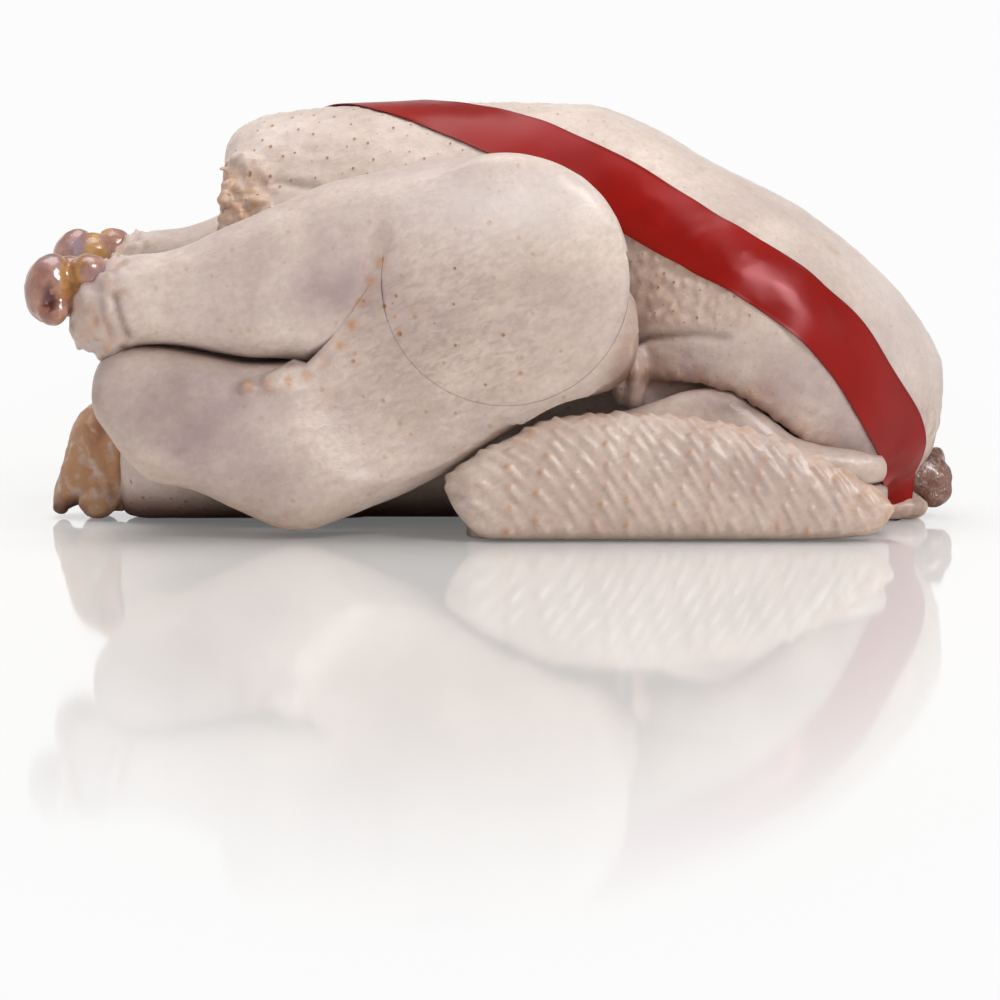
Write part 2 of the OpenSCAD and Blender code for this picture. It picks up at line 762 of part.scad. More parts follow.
// A point on the torso's skin, kept out of the wing hollow and off the floor.
function skin_point(share, angle) =
    let (s = breast_at(vent_x + min(share, 0.995) * torso_len),
         p = ring_point(s, angle, 2.3))
    [p[0], p[1], max(p[2], 0)];

function route(i) =
    let (n = len(RIBBON), k = (i + n) % n, turn = i < 0 ? 360 : i >= n ? -360 : 0)
    [RIBBON[k][0], RIBBON[k][1] + turn];

function route_at(i, t) =
    let (a = route(i - 1), b = route(i), c = route(i + 1), d = route(i + 2), t2 = t * t)
    0.5 * (2 * b + (c - a) * t + (2 * a - 5 * b + 4 * c - d) * t2
           + (3 * b - a - 3 * c + d) * t2 * t);

function unit(v) = v / norm(v);

// Middle of the ribbon, the way it runs and the way it faces, at a place on the route.
function ribbon_frame(i, t) =
    let (u = route_at(i, t), e = 0.004,
         p = skin_point(u[0], u[1]),
         along_x = skin_point(u[0] + e, u[1]) - skin_point(u[0] - e, u[1]),
         round_it = skin_point(u[0], u[1] + 1) - skin_point(u[0], u[1] - 1),
         face = unit(cross(along_x, round_it)),
         ahead = i + t + 0.2, behind = i + t - 0.2,
         va = route_at(floor(ahead), ahead - floor(ahead)),
         vb = route_at(floor(behind), behind - floor(behind)),
         run = unit(skin_point(va[0], va[1]) - skin_point(vb[0], vb[1])))
    [p, run, face];

// Four corners of the ribbon's section. It is pressed half its thickness into the rubber.
// The high side faces the rubber, and the low side stays above the table.
function ribbon_section(i, t, half_w, low, high) =
    let (f = ribbon_frame(i, t), across = unit(cross(f[2], f[1])))
    [for (c = [[-1, low], [1, low], [1, high], [-1, high]])
        let (q = f[0] + across * c[0] * half_w + f[2] * c[1])
        [q[0], q[1], max(q[2], c[1] == high ? ribbon_t : 0)]];

module ribbon() {
    steps = 4;
    stops = [for (i = [0 : len(RIBBON) - 1]) for (k = [0 : steps - 1])
        ribbon_section(i, k / steps, ribbon_w / 2, -ribbon_t / 2, ribbon_t / 2)];
    n = len(stops);
    // both broad faces are split along the same diagonal, so that a twist never crosses them
    sides = [for (i = [0 : n - 1]) for (k = [0 : 3])
        let (next = (k + 1) % 4, far = 4 * ((i + 1) % n),
             a = 4 * i + k, b = 4 * i + next, c = far + k, d = far + next)
        each (k == 2 ? [[a, c, b], [b, c, d]] : [[a, d, b], [a, c, d]])];
    color("#a5120c") polyhedron([for (s = stops) each s], sides);
}

torso_skin();
vent_pouch();
tail();
neck_stump();
squeaker_cup();
squeaker_reed();
squeaker_cap();
ribbon();
hip_washers();
shoulder_washers();
for (side = SIDES) {
    on_side(side[1]) thigh();
    on_side(side[1]) hip_stud();
    on_side(side[1]) hip_lock();
    on_side(side[1]) knee_washer();
    on_side(side[1]) drumstick();
    on_side(side[1]) knee_stud();
    on_side(side[1]) knee_lock();
    on_side(side[1]) shank_bone();
    on_side(side[1]) upper_wing();
    on_side(side[1]) shoulder_stud();
    on_side(side[1]) shoulder_lock();
    on_side(side[1]) elbow_washer();
    on_side(side[1]) forewing();
    on_side(side[1]) elbow_stud();
    on_side(side[1]) elbow_lock();
}
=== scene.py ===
"""A posable rubber chicken, dressed round its construction frame."""
import math

import bmesh
import bpy
import numpy as np
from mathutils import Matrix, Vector
from mathutils.bvhtree import BVHTree


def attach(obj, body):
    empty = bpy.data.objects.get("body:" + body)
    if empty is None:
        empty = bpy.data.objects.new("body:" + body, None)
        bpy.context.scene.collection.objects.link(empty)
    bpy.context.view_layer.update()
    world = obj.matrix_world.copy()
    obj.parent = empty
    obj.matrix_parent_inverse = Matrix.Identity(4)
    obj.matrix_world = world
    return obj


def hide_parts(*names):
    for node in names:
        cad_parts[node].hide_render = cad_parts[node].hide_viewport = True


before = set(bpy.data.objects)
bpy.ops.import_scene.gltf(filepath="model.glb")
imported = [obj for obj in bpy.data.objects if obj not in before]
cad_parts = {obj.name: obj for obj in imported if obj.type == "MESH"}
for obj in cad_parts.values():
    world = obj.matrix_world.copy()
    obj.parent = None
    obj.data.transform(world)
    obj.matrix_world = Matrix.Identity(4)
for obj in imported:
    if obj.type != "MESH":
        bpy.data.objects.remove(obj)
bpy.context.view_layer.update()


# ---- Camera, table and light ------------------------------------------------------------------
# The bird lies on a polished white table in a soft studio light from above. A long lens looks
# along +Y from a little above the table top.
def colour(hex_code):
    """Linear colour from an sRGB hex code."""
    parts = [int(hex_code[i:i + 2], 16) / 255 for i in (1, 3, 5)]
    return [c / 12.92 if c <= 0.04045 else ((c + 0.055) / 1.055) ** 2.4 for c in parts] + [1]


def node(tree, kind, inputs=(), **settings):
    """Adds a shader node with its settings. An input is a value, or the socket or node that feeds it."""
    made = tree.nodes.new(kind)
    for name, value in settings.items():
        setattr(made, name, value)
    for name, value in dict(inputs).items():
        if isinstance(value, bpy.types.Node):
            value = next(socket for socket in value.outputs if socket.enabled)
        if isinstance(value, bpy.types.NodeSocket):
            tree.links.new(value, made.inputs[name])
        else:
            made.inputs[name].default_value = value
    return made


def new_material(name):
    """An empty material: its tree, and its surface socket."""
    material = bpy.data.materials.new(name)
    material.use_nodes = True
    material.node_tree.nodes.clear()
    out = material.node_tree.nodes.new("ShaderNodeOutputMaterial")
    return material, material.node_tree, out.inputs["Surface"]


def maths(tree, operation, *values, **settings):
    """A figure worked out from up to three values."""
    return node(tree, "ShaderNodeMath", dict(enumerate(values)), operation=operation, **settings)


def remap(tree, value, low, high, start=0.0, end=1.0, **settings):
    """Runs from start to end while the value given runs from low to high."""
    return node(tree, "ShaderNodeMapRange", {
        "Value": value, "From Min": low, "From Max": high, "To Min": start, "To Max": end}, **settings)


def blend(tree, share, first, second):
    """A tone between two, by the share of the second. Each is a hex code, a colour or a node."""
    first, second = (colour(tone) if isinstance(tone, str) else tone for tone in (first, second))
    return node(tree, "ShaderNodeMix", {0: share, 6: first, 7: second}, data_type="RGBA")


def noise(tree, place, scale, detail, distortion=0.0):
    """Cloudy noise, with a number of clouds to the metre."""
    return node(tree, "ShaderNodeTexNoise", {
        "Vector": place, "Scale": scale, "Detail": detail, "Distortion": distortion})


def kept_for(tree, name):
    """The three numbers that a piece keeps under a name for each of its points."""
    return node(tree, "ShaderNodeAttribute", attribute_name=name).outputs["Vector"]


def fine_relief(tree, height, strength, metres):
    """Relief too fine for the mesh."""
    return node(tree, "ShaderNodeBump", {"Height": height, "Strength": strength, "Distance": metres})


def cover(tree, surface, inputs):
    """Ends a material in its surface."""
    tree.links.new(node(tree, "ShaderNodeBsdfPrincipled", inputs).outputs[0], surface)


LENS_MM = 250
SENSOR_MM = 36
VIEW_WIDTH = 0.370
CAMERA_RISE = math.radians(5.6)
AIM = Vector((0.003, -0.05, 0.0112))

camera_data = bpy.data.cameras.new("camera")
camera_data.lens = LENS_MM
camera_data.sensor_width = SENSOR_MM
camera_data.clip_end = 100
camera = bpy.data.objects.new("camera", camera_data)
bpy.context.collection.objects.link(camera)
distance = VIEW_WIDTH * LENS_MM / SENSOR_MM
camera.location = AIM + distance * Vector((0, -math.cos(CAMERA_RISE), math.sin(CAMERA_RISE)))
camera.rotation_euler = (math.pi / 2 - CAMERA_RISE, 0, 0)
scene = bpy.context.scene
scene.camera = camera
scene.view_settings.view_transform = "Standard"

# Polished laminate: a faint mirror of the bird near it, and plain white further away.
TABLE_HALF = 14.0
mesh = bpy.data.meshes.new("table")
mesh.from_pydata([(x * TABLE_HALF, y * TABLE_HALF, 0) for x, y in ((-1, -1), (1, -1), (1, 1), (-1, 1))],
                 [], [(0, 1, 2, 3)])
table = bpy.data.objects.new("table", mesh)
bpy.context.collection.objects.link(table)
table_top, tree, surface = new_material("polished_laminate")
laminate = node(tree, "ShaderNodeBsdfPrincipled", {
    "Base Color": colour("#F1F0EE"), "Roughness": 0.05, "Specular IOR Level": 0.32})
place = node(tree, "ShaderNodeTexCoord")
# behind and beside the bird the table turns white sooner than in front of it
far = node(tree, "ShaderNodeVectorMath", {0: place.outputs["Object"], 1: (2, 0.5, 1)}, operation="MULTIPLY")
far = node(tree, "ShaderNodeVectorMath", {0: far}, operation="LENGTH")
fade = remap(tree, far.outputs["Value"], 0.24, 0.55, 0.12, 1.0, interpolation_type="SMOOTHSTEP")
ray = node(tree, "ShaderNodeLightPath")
white = node(tree, "ShaderNodeEmission", {"Color": colour("#FCFCFC"), "Strength": 1})
seen = maths(tree, "MULTIPLY", fade.outputs["Result"], ray.outputs["Is Camera Ray"])
both = node(tree, "ShaderNodeMixShader", {
    0: seen.outputs[0], 1: laminate.outputs[0], 2: white.outputs[0]})
tree.links.new(both.outputs[0], surface)
table.data.materials.append(table_top)

world = bpy.data.worlds.new("studio")
scene.world = world
world.use_nodes = True
tree = world.node_tree
tree.nodes.clear()
# white walls and a grey ceiling, which shiny things mirror; the light it gives is even
ray = node(tree, "ShaderNodeLightPath")
plain = maths(tree, "MAXIMUM", ray.outputs["Is Camera Ray"], ray.outputs["Is Glossy Ray"])
place = node(tree, "ShaderNodeTexCoord")
up = node(tree, "ShaderNodeSeparateXYZ", {0: place.outputs["Generated"]})
ceiling = remap(tree, up.outputs[2], 0.22, 0.42, 1.0, 0.25)
strength = node(tree, "ShaderNodeMix", {0: plain, 2: 0.50, 3: ceiling}, data_type="FLOAT")
sky = node(tree, "ShaderNodeBackground", {
    "Color": colour("#FCFCFC"), "Strength": strength})
node(tree, "ShaderNodeOutputWorld", {"Surface": sky.outputs[0]})


def softbox(name, place, aim, size, power, tint):
    """A square area lamp turned to what it lights."""
    lamp = bpy.data.lights.new(name, "AREA")
    lamp.size = size
    lamp.energy = power
    lamp.color = colour(tint)[:3]
    holder = bpy.data.objects.new(name, lamp)
    bpy.context.collection.objects.link(holder)
    holder.location = place
    holder.rotation_euler = (Vector(aim) - Vector(place)).to_track_quat("-Z", "Y").to_euler()
    return holder


softbox("overhead", (-0.15, 0.15, 1.3), (0, 0, 0.08), 0.9, 9.5, "#FFFFFF")
softbox("key", (1.15, -1.35, 1.25), (0.05, -0.05, 0.08), 0.5, 14, "#FFFBF6")
# a wide diffuser in front of the key lamp, seen only as the sheen on satin and moist skin
diffuser = softbox("diffuser", (1.29, -1.42, 1.40), (0.1, -0.07, 0.09), 1.0, 75, "#FFFFFF")
diffuser.visible_diffuse = False
softbox("fill", (-0.6, -1.9, 0.7), (0, 0, 0.06), 0.9, 3, "#FFF9F2")


# ---- Torso ------------------------------------------------------------------------------------
# The trunk is one slush-cast latex skin, a few millimetres thick, peeled from a plaster mould
# and tinted with an airbrush; painted shade and painted light lie over the tints. Snap studs hold
# the legs and wings, and the neck and tail are plugged into it. All shapes below are drawn in millimetres.
MM = 0.001


def bend_through(rows, steps):
    """Rows between the given rows, on a smooth curve through them."""
    rows = np.array(rows, float)
    ahead = np.vstack([rows[1:], rows[-1:]])
    behind = np.vstack([rows[:1], rows[:-1]])
    slope = (ahead - behind) / (ahead[:, :1] - behind[:, :1])
    t = (np.arange(steps) / steps)[None, :, None]
    run = (rows[1:, :1] - rows[:-1, :1])[:, None, :]
    a, b = rows[:-1, None, :], rows[1:, None, :]
    sa, sb = slope[:-1, None, :] * run, slope[1:, None, :] * run
    curve = (a * (2 * t**3 - 3 * t**2 + 1) + sa * (t**3 - 2 * t**2 + t)
             + b * (3 * t**2 - 2 * t**3) + sb * (t**3 - t**2))
    return np.vstack([curve.reshape(-1, rows.shape[1]), rows[-1:]])


def ring_faces(rings, around):
    """Faces of a closed form whose points stand in rings, with both ends capped."""
    last = (rings - 1) * around
    faces = []
    for first in range(0, last, around):
        for k in range(around):
            j = (k + 1) % around
            faces.append((first + k, first + j, first + around + j, first + around + k))
    return faces + [tuple(range(around - 1, -1, -1)), tuple(range(last, last + around))]


def loft(rows, around=40, steps=4, power=2.3):
    """A closed form along X. A row is [x, y low, y high, z low, z middle, z high]."""
    rows = bend_through(rows, steps)
    angle = np.linspace(0, 2 * np.pi, around, endpoint=False)
    c, s = (np.sign(v) * np.abs(v) ** (2 / power) for v in (np.cos(angle), np.sin(angle)))
    x, y0, y1, z0, zm, z1 = (rows[:, i, None] for i in range(6))
    points = np.stack([x + 0 * c, (y0 + y1) / 2 + c * (y1 - y0) / 2,
                       np.where(s > 0, zm + (z1 - zm) * s, zm - (zm - z0) * -s)], axis=2)
    return points.reshape(-1, 3), ring_faces(len(rows), around)


def blob(at, size, turn=0):
    """A lump: an ellipsoid with three half-widths, turned about Y."""
    rings, around = 10, 16
    points, faces = [], []
    for i in range(rings + 1):
        up = np.pi * i / rings
        for k in range(around):
            a = 2 * np.pi * k / around
            points.append((np.sin(up) * np.cos(a), np.sin(up) * np.sin(a), np.cos(up)))
    for i in range(rings):
        for k in range(around):
            j = (k + 1) % around
            faces.append((i * around + k, (i + 1) * around + k, (i + 1) * around + j, i * around + j))
    points = np.array(points) * size
    c, s = math.cos(turn), math.sin(turn)
    points = np.stack([points[:, 0] * c + points[:, 2] * s, points[:, 1],
                       points[:, 2] * c - points[:, 0] * s], axis=1)
    return points + at, faces


def rod(start, end, radius, around=40):
    """A plain round bar between two places."""
    start, end = np.array(start, float), np.array(end, float)
    run = (end - start) / np.linalg.norm(end - start)
    side = np.cross(run, (0, 0, 1) if abs(run[2]) < 0.9 else (1, 0, 0))
    side /= np.linalg.norm(side)
    up = np.cross(run, side)
    angle = np.linspace(0, 2 * np.pi, around, endpoint=False)[:, None]
    circle = radius * (np.cos(angle) * side + np.sin(angle) * up)
    return np.vstack([start + circle, end + circle]), ring_faces(2, around)


def slab(outline, y0, y1):
    """An outline in X and Z, given thickness in Y."""
    points = [(x, y, z) for y in (y0, y1) for x, z in outline]
    return np.array(points, float), ring_faces(2, len(outline))


def mesh_piece(name, forms):
    """One object from a list of forms."""
    points, faces = [], []
    for form_points, form_faces in forms:
        first = sum(len(p) for p in points)
        points.append(form_points)
        faces += [tuple(first + i for i in face) for face in form_faces]
    made = bpy.data.meshes.new(name)
    made.from_pydata((np.vstack(points) * MM).tolist(), [], faces)
    made.validate()
    piece = bpy.data.objects.new(name, made)
    bpy.context.collection.objects.link(piece)
    return piece


def modify(piece, kind, **settings):
    """Adds a modifier and makes its result the piece's own mesh."""
    modifier = piece.modifiers.new(kind, kind)
    for name, value in settings.items():
        setattr(modifier, name, value)
    bpy.context.view_layer.update()
    shaped = bpy.data.meshes.new_from_object(piece.evaluated_get(bpy.context.evaluated_depsgraph_get()))
    piece.modifiers.clear()
    piece.data = shaped


def outward(piece):
    """Turns every face of a closed form outward."""
    work = bmesh.new()
    work.from_mesh(piece.data)
    bmesh.ops.recalc_face_normals(work, faces=work.faces)
    work.to_mesh(piece.data)
    work.free()


def carve(piece, forms, crossing=False):
    """Cuts forms out of a piece, which may be made of forms that cross each other."""
    for form in forms:
        cutter = mesh_piece("cutter", [form])
        outward(cutter)
        modify(piece, "BOOLEAN", operation="DIFFERENCE", solver="EXACT", use_self=crossing,
               object=cutter)
        bpy.data.objects.remove(cutter)


def add_forms(piece, forms):
    """Adds forms to a piece's mesh, to be melted in later."""
    added = mesh_piece("added", forms)
    work = bmesh.new()
    work.from_mesh(piece.data)
    work.from_mesh(added.data)
    work.to_mesh(piece.data)
    work.free()
    bpy.data.objects.remove(added)


def soften(piece, grain, passes):
    """Melts overlapping forms into one skin with faces of about the grain's size."""
    modify(piece, "REMESH", mode="VOXEL", voxel_size=grain * MM, use_smooth_shade=True)
    modify(piece, "SMOOTH", factor=0.5, iterations=passes)


def points_of(piece):
    """Places and facing of a piece's points, in millimetres."""
    count = len(piece.data.vertices)
    places, facing = np.empty(count * 3, np.float32), np.empty(count * 3, np.float32)
    piece.data.vertices.foreach_get("co", places)
    piece.data.vertex_normals.foreach_get("vector", facing)
    return places.reshape(-1, 3).astype(float) * 1000, facing.reshape(-1, 3).astype(float)


def place_points(piece, places):
    """Moves a piece's points to new places, given in millimetres."""
    piece.data.vertices.foreach_set("co", (places * MM).astype(np.float32).ravel())
    piece.data.update()


def keep(piece, name, values):
    """Keeps three numbers for each point of a piece, for its material."""
    layer = piece.data.attributes.new(name, "FLOAT_VECTOR", "POINT")
    layer.data.foreach_set("vector", np.stack(values, axis=1).astype(np.float32).ravel())


def ease(value, low, high):
    """Rises smoothly from 0 at low to 1 at high."""
    t = np.clip((value - low) / (high - low), 0, 1)
    return t * t * (3 - 2 * t)


def pool(x, z, at, size):
    """A soft round patch as seen from the side, 1 in its middle."""
    return np.exp(-(((x - at[0]) / size[0]) ** 2 + ((z - at[1]) / size[1]) ** 2))


def ripple(places, size, seed):
    """Smooth random swelling between -1 and 1, about the given size across."""
    q = places / size + seed * 13.7
    cell = np.floor(q).astype(np.int64)
    f = q - cell
    f = f * f * (3 - 2 * f)
    total = 0
    for dx in (0, 1):
        for dy in (0, 1):
            for dz in (0, 1):
                key = ((cell[:, 0] + dx) * 73856093 ^ (cell[:, 1] + dy) * 19349663
                       ^ (cell[:, 2] + dz) * 83492791 ^ seed * 2654435)
                key = (key ^ (key >> 13)) * 1274126177
                value = ((key >> 8) & 0xFFFF) / 32767.5 - 1
                weight = (np.where(dx, f[:, 0], 1 - f[:, 0]) * np.where(dy, f[:, 1], 1 - f[:, 1])
                          * np.where(dz, f[:, 2], 1 - f[:, 2]))
                total = total + value * weight
    return total


def line_distance(places, line):
    """Distance in X and Z from a bent line, and how far along it, from 0 to 1."""
    best, share = np.full(len(places), 1e9), np.zeros(len(places))
    flat, line = places[:, [0, 2]], np.array(line, float)
    for i in range(len(line) - 1):
        a, d = line[i], line[i + 1] - line[i]
        t = np.clip(((flat - a) @ d) / (d @ d), 0, 1)
        away = np.linalg.norm(flat - a - t[:, None] * d, axis=1)
        closer = away < best
        best = np.where(closer, away, best)
        share = np.where(closer, (i + t) / (len(line) - 1), share)
    return best, share


def furrow(places, line, width, ends=0.15):
    """How deep a fold is at each point, from 0 to 1. It fades at its ends."""
    away, share = line_distance(places, line)
    return np.exp(-(away / width) ** 2) * ease(share, 0, ends) * (1 - ease(share, 1 - ends, 1))


FOLLICLE_GAP, FOLLICLE_STRAY = 6.2, 0.24
STRAY_LEFT, STRAY_UP = (2.4, 3.7, 0), (1.9, 5.1, 0)


def follicle_chart(along, round_it):
    """Turns a chart of the skin so that the feather follicles stand in slanting rows."""
    return (along * 0.77 + round_it * 0.64), (round_it * 0.77 - along * 0.64)


def goose_bumps(along, round_it):
    """Distance to the nearest feather follicle of a chart."""
    grid = np.stack([along, round_it]) / FOLLICLE_GAP
    cell = np.floor(grid)
    stray = np.sin([lean[0] * cell[0] + lean[1] * cell[1] for lean in (STRAY_LEFT, STRAY_UP)])
    return FOLLICLE_GAP * np.hypot(*(grid - cell - 0.5 - FOLLICLE_STRAY * stray))


# Slush-cast natural latex, tinted through and mottled with thinned latex from an airbrush. Painted
# shade darkens its creases, hollows and undersides, and painted light pales some lit tops. It
# looks slightly moist: soft-edged highlights over skin that lets a little light in.
latex_skin, tree, surface = new_material("airbrushed_latex_with_painted_shade")
# kept per point: fatty tint, lilac tint (in places laid on as painted shade), and painted shading
fat, rose, painted_shading = node(tree, "ShaderNodeSeparateXYZ", {0: kept_for(tree, "shades")}).outputs
rows, scattered, crinkled = node(tree, "ShaderNodeSeparateXYZ", {0: kept_for(tree, "marks")}).outputs
place = node(tree, "ShaderNodeTexCoord").outputs["Object"]

# the follicle chart again: how far each place is from its follicle, in follicle gaps
chart = node(tree, "ShaderNodeVectorMath", {0: kept_for(tree, "chart"), 1: (FOLLICLE_GAP,) * 3},
    operation="DIVIDE")
cell = node(tree, "ShaderNodeVectorMath", {0: chart}, operation="FLOOR")
stray = []
for lean in (STRAY_LEFT, STRAY_UP):
    turn = node(tree, "ShaderNodeVectorMath", {0: cell, 1: lean}, operation="DOT_PRODUCT")
    stray.append(maths(tree, "SINE", turn))
stray = node(tree, "ShaderNodeCombineXYZ", {0: stray[0], 1: stray[1]})
stray = node(tree, "ShaderNodeVectorMath", {
    0: stray, 1: (FOLLICLE_STRAY, FOLLICLE_STRAY, 0), 2: (0.5, 0.5, 0)}, operation="MULTIPLY_ADD")
centre = node(tree, "ShaderNodeVectorMath", {0: cell, 1: stray}, operation="ADD")
row_away = node(tree, "ShaderNodeVectorMath", {0: chart, 1: centre}, operation="DISTANCE")
row_luck = node(tree, "ShaderNodeTexWhiteNoise", {"Vector": cell}, noise_dimensions="2D")
# on the legs the follicles lie at random, in cells 5.5 mm across
loose = node(tree, "ShaderNodeTexVoronoi", {"Vector": place, "Scale": 182})
loose_luck = node(tree, "ShaderNodeSeparateXYZ", {0: loose.outputs["Color"]})
dots = []
for away, luck, size, strength in ((row_away, row_luck, 0.145, rows),
                                   (loose.outputs["Distance"], loose_luck, 0.26, scattered)):
    spread = remap(tree, luck, 0.2, 1.0, size * 0.3, size)
    near = maths(tree, "DIVIDE", away, spread)
    dot = remap(tree, near, 0.25, 1.15, 1.0, 0.0, interpolation_type="SMOOTHSTEP")
    dots.append(maths(tree, "MULTIPLY", dot, strength))
dot = maths(tree, "ADD", dots[0], dots[1], use_clamp=True)
pit = remap(tree, dot, 0.62, 1.0)

# clouds of shade: patches per metre, detail, and the part of the noise that counts
clouds = {}
for what, scale, detail, low, high in (("patch", 28, 3, 0.38, 0.66), ("rosy", 45, 4, 0.22, 0.70),
                                       ("fatty", 190, 3, 0.20, 0.72), ("veined", 75, 5, 0.56, 0.74),
                                       ("speckled", 420, 4, 0.40, 0.62)):
    cloud = noise(tree, place, scale, detail)
    clouds[what] = remap(tree, cloud, low, high)
# fine crinkles, drawn out along a line that climbs towards the breast
combed = node(tree, "ShaderNodeMapping", {
    "Vector": place, "Rotation": (0, -0.45, 0), "Scale": (1.7, 1, 0.75)}, vector_type="TEXTURE")
crinkle = noise(tree, combed, 330, 4, 0.5)
# the crinkles' hollows are painted darker: painted shade in the fine wrinkles
hollow = remap(tree, crinkle, 0.34, 0.58, 0.6, 0.0)

skin_tone = blend(tree, clouds["patch"], "#E9D9CE", "#D8C6BB")
for what, strength, over in ((clouds["rosy"], rose, "#B5A0A0"), (clouds["fatty"], fat, "#C6946A"),
                             (clouds["veined"], 0.22, "#A87F76"), (clouds["speckled"], 0.16, "#A9968B"),
                             (hollow, crinkled, "#A9938A"), (dot, 0.74, "#C08B57"), (pit, 0.5, "#86552F"),
                             (painted_shading, 1.0, "#5A2F1E"), (painted_shading, -1.0, "#FBF3F3")):
    # the painted shading darkens the skin; below nought it is painted light and pales the skin instead
    share = maths(tree, "MULTIPLY", what, strength, use_clamp=True)
    skin_tone = blend(tree, share, skin_tone, over)
grain = noise(tree, place, 900, 4)
depth = remap(tree, crinkled, 0.0, 1.0, 0.25, 1.15)
relief = maths(tree, "MULTIPLY", crinkle, depth)
relief = maths(tree, "MULTIPLY_ADD", grain, 0.16, relief)
relief = maths(tree, "MULTIPLY_ADD", dot, 0.30, relief)
relief = maths(tree, "MULTIPLY_ADD", pit, -0.5, relief)
bump = fine_relief(tree, relief, 0.75, 0.0012)
moist = remap(tree, crinkle, 0.3, 0.7, 0.34, 0.52)
cover(tree, surface, {
    "Base Color": skin_tone, "Roughness": moist, "IOR": 1.5, "Specular IOR Level": 0.18,
    "Subsurface Weight": 0.12, "Subsurface Radius": (1.0, 0.45, 0.28), "Subsurface Scale": 0.003,
    "Coat Weight": 0.10, "Coat Roughness": 0.22, "Normal": bump})

VENT_X, TORSO_LENGTH, TORSO_HEIGHT = -100, 269, 153
WAIST, BREAST_WIDTH = 103, 160
# radius and height of the round on which the torso's follicles are charted
TORSO_ROUND, TORSO_MIDDLE = 66, 62
# Shares of [length, waist, flank, base, widest height, top] from the vent lip to the nose.
BREAST = [
    [0.00, 0.68, 0.00, 0.20, 0.60, 0.915], [0.02, 0.78, 0.00, 0.10, 0.60, 0.959],
    [0.07, 0.86, 0.00, 0.00, 0.59, 0.993], [0.20, 0.95, 0.00, 0.00, 0.57, 1.015],
    [0.37, 1.00, 0.00, 0.00, 0.56, 1.02], [0.46, 1.00, 0.00, 0.00, 0.55, 1.02],
    [0.53, 1.00, 0.02, 0.00, 0.55, 1.005], [0.60, 1.00, 0.50, 0.00, 0.54, 0.951],
    [0.68, 1.00, 0.93, 0.00, 0.52, 0.872], [0.75, 1.00, 1.00, 0.00, 0.50, 0.813],
    [0.81, 1.00, 0.86, 0.01, 0.47, 0.755], [0.88, 1.00, 0.40, 0.03, 0.41, 0.666],
    [0.94, 0.82, 0.00, 0.07, 0.34, 0.561], [0.98, 0.52, 0.00, 0.15, 0.30, 0.462],
    [1.00, 0.20, 0.00, 0.23, 0.30, 0.390]]


def breast_rows():
    """The rows of the torso's main form."""
    rows = []
    for length, waist, flank, base, middle, top in BREAST:
        half = waist * WAIST / 2 + flank * (BREAST_WIDTH - WAIST) / 2
        rows.append([VENT_X + length * TORSO_LENGTH, -half, half, max(base * TORSO_HEIGHT, 0),
                     middle * TORSO_HEIGHT, top * TORSO_HEIGHT])
    return rows


RUMP = [[-141, -12, 12, 8, 20, 34], [-137, -24, 24, 1, 20, 44], [-119, -38, 38, 0, 24, 58],
        [-100, -43, 43, 0, 28, 70], [-50, -44, 44, 0, 34, 82]]
VENT = [[-112, -28, 28, 67.9, 94.9, 121.9], [-100, -27.5, 27.5, 68.5, 94.9, 121.5],
        [-56, -25.6, 25.6, 70.2, 94.9, 119.8], [-12, -19, 19, 76.6, 94.9, 113.2]]
WING_ROOF = [(-25, -5), (-25, 52), (15, 57.5), (75, 56.5), (90, 51.5), (104, 42.5), (115, 34), (125, 28),
             (135, 24.2), (152, 22.5), (175, 22), (175, -5)]

torso = mesh_piece("torso", [loft(breast_rows()), loft(RUMP)])
outward(torso)
carve(torso, [slab(WING_ROOF, -120, -58), slab(WING_ROOF, 58, 120), loft(VENT, power=2)],
      crossing=True)
random = np.random.default_rng(11)
bosses = [rod((129, 0, 18), (157, 0, 18), 13)]
for side in (-1, 1):
    bosses += [rod((-115, side * 24, 34), (-115, side * 53, 34), 17),
               rod((134, side * 62, 3), (134, side * 62, 18), 12),
               blob((134, side * 45, 11), (12, 20, 8))]
    bosses += [blob((156, side * 13, 5.2), (8.5, 10, 5)), blob((150, side * 16, 5), (9, 8, 4.6))]
    # an upright fold of skin behind the knee, and puckered skin round the vent
    bosses += [blob((52.4, side * 60, 57.5), (3.8, 10, 12.5), 0.05),
               blob((46.6, side * 59, 58), (2.6, 9, 11), -0.05)]
    for z in np.linspace(106, 137, 10):
        for x in (-97.5, -91, -85):
            size = random.uniform(1.6, 3.4)
            half = 37 + (x + 96) * 0.55 - max(z - 118, 0) * 0.55
            bosses.append(blob((x + random.uniform(-3, 3), side * half, z + random.uniform(-2, 2)),
                               (size, size, size * 0.8)))
add_forms(torso, bosses)
soften(torso, grain=1.3, passes=7)

places, facing = points_of(torso)
x, y, z = places.T
flank = ease(np.abs(y), 42, 60)
flank_patch = flank * ease(x, 44, 58) * (1 - ease(x, 88, 104)) * ease(z, 74, 82) * (1 - ease(z, 106, 122))
fat = 0.36 * flank_patch
vent_rim = (1 - ease(x, -90, -76)) * ease(z, 98, 110) * (1 - ease(z, 126, 140)) * ease(np.abs(y), 10, 26)
fat = np.maximum(fat, 0.95 * vent_rim)
fat = np.maximum(fat, 0.45 * ease(x, 138, 156) * (1 - ease(z, 20, 44)))
# lilac mottling all over, laid on more heavily low on the flank as painted shade
rose = 0.28 + 0.75 * flank * ease(x, 40, 60) * (1 - ease(z, 60, 80)) + 0.1 * ease(x, 60, 130)
wing_edge = [(44, 58), (75, 57), (90, 52), (104, 43), (115, 34.5), (127, 28)]
# warm painted shade along the breast's edge where it overhangs the wing
fat = np.maximum(fat, 0.6 * furrow(places, wing_edge, 6, 0.05) * flank)
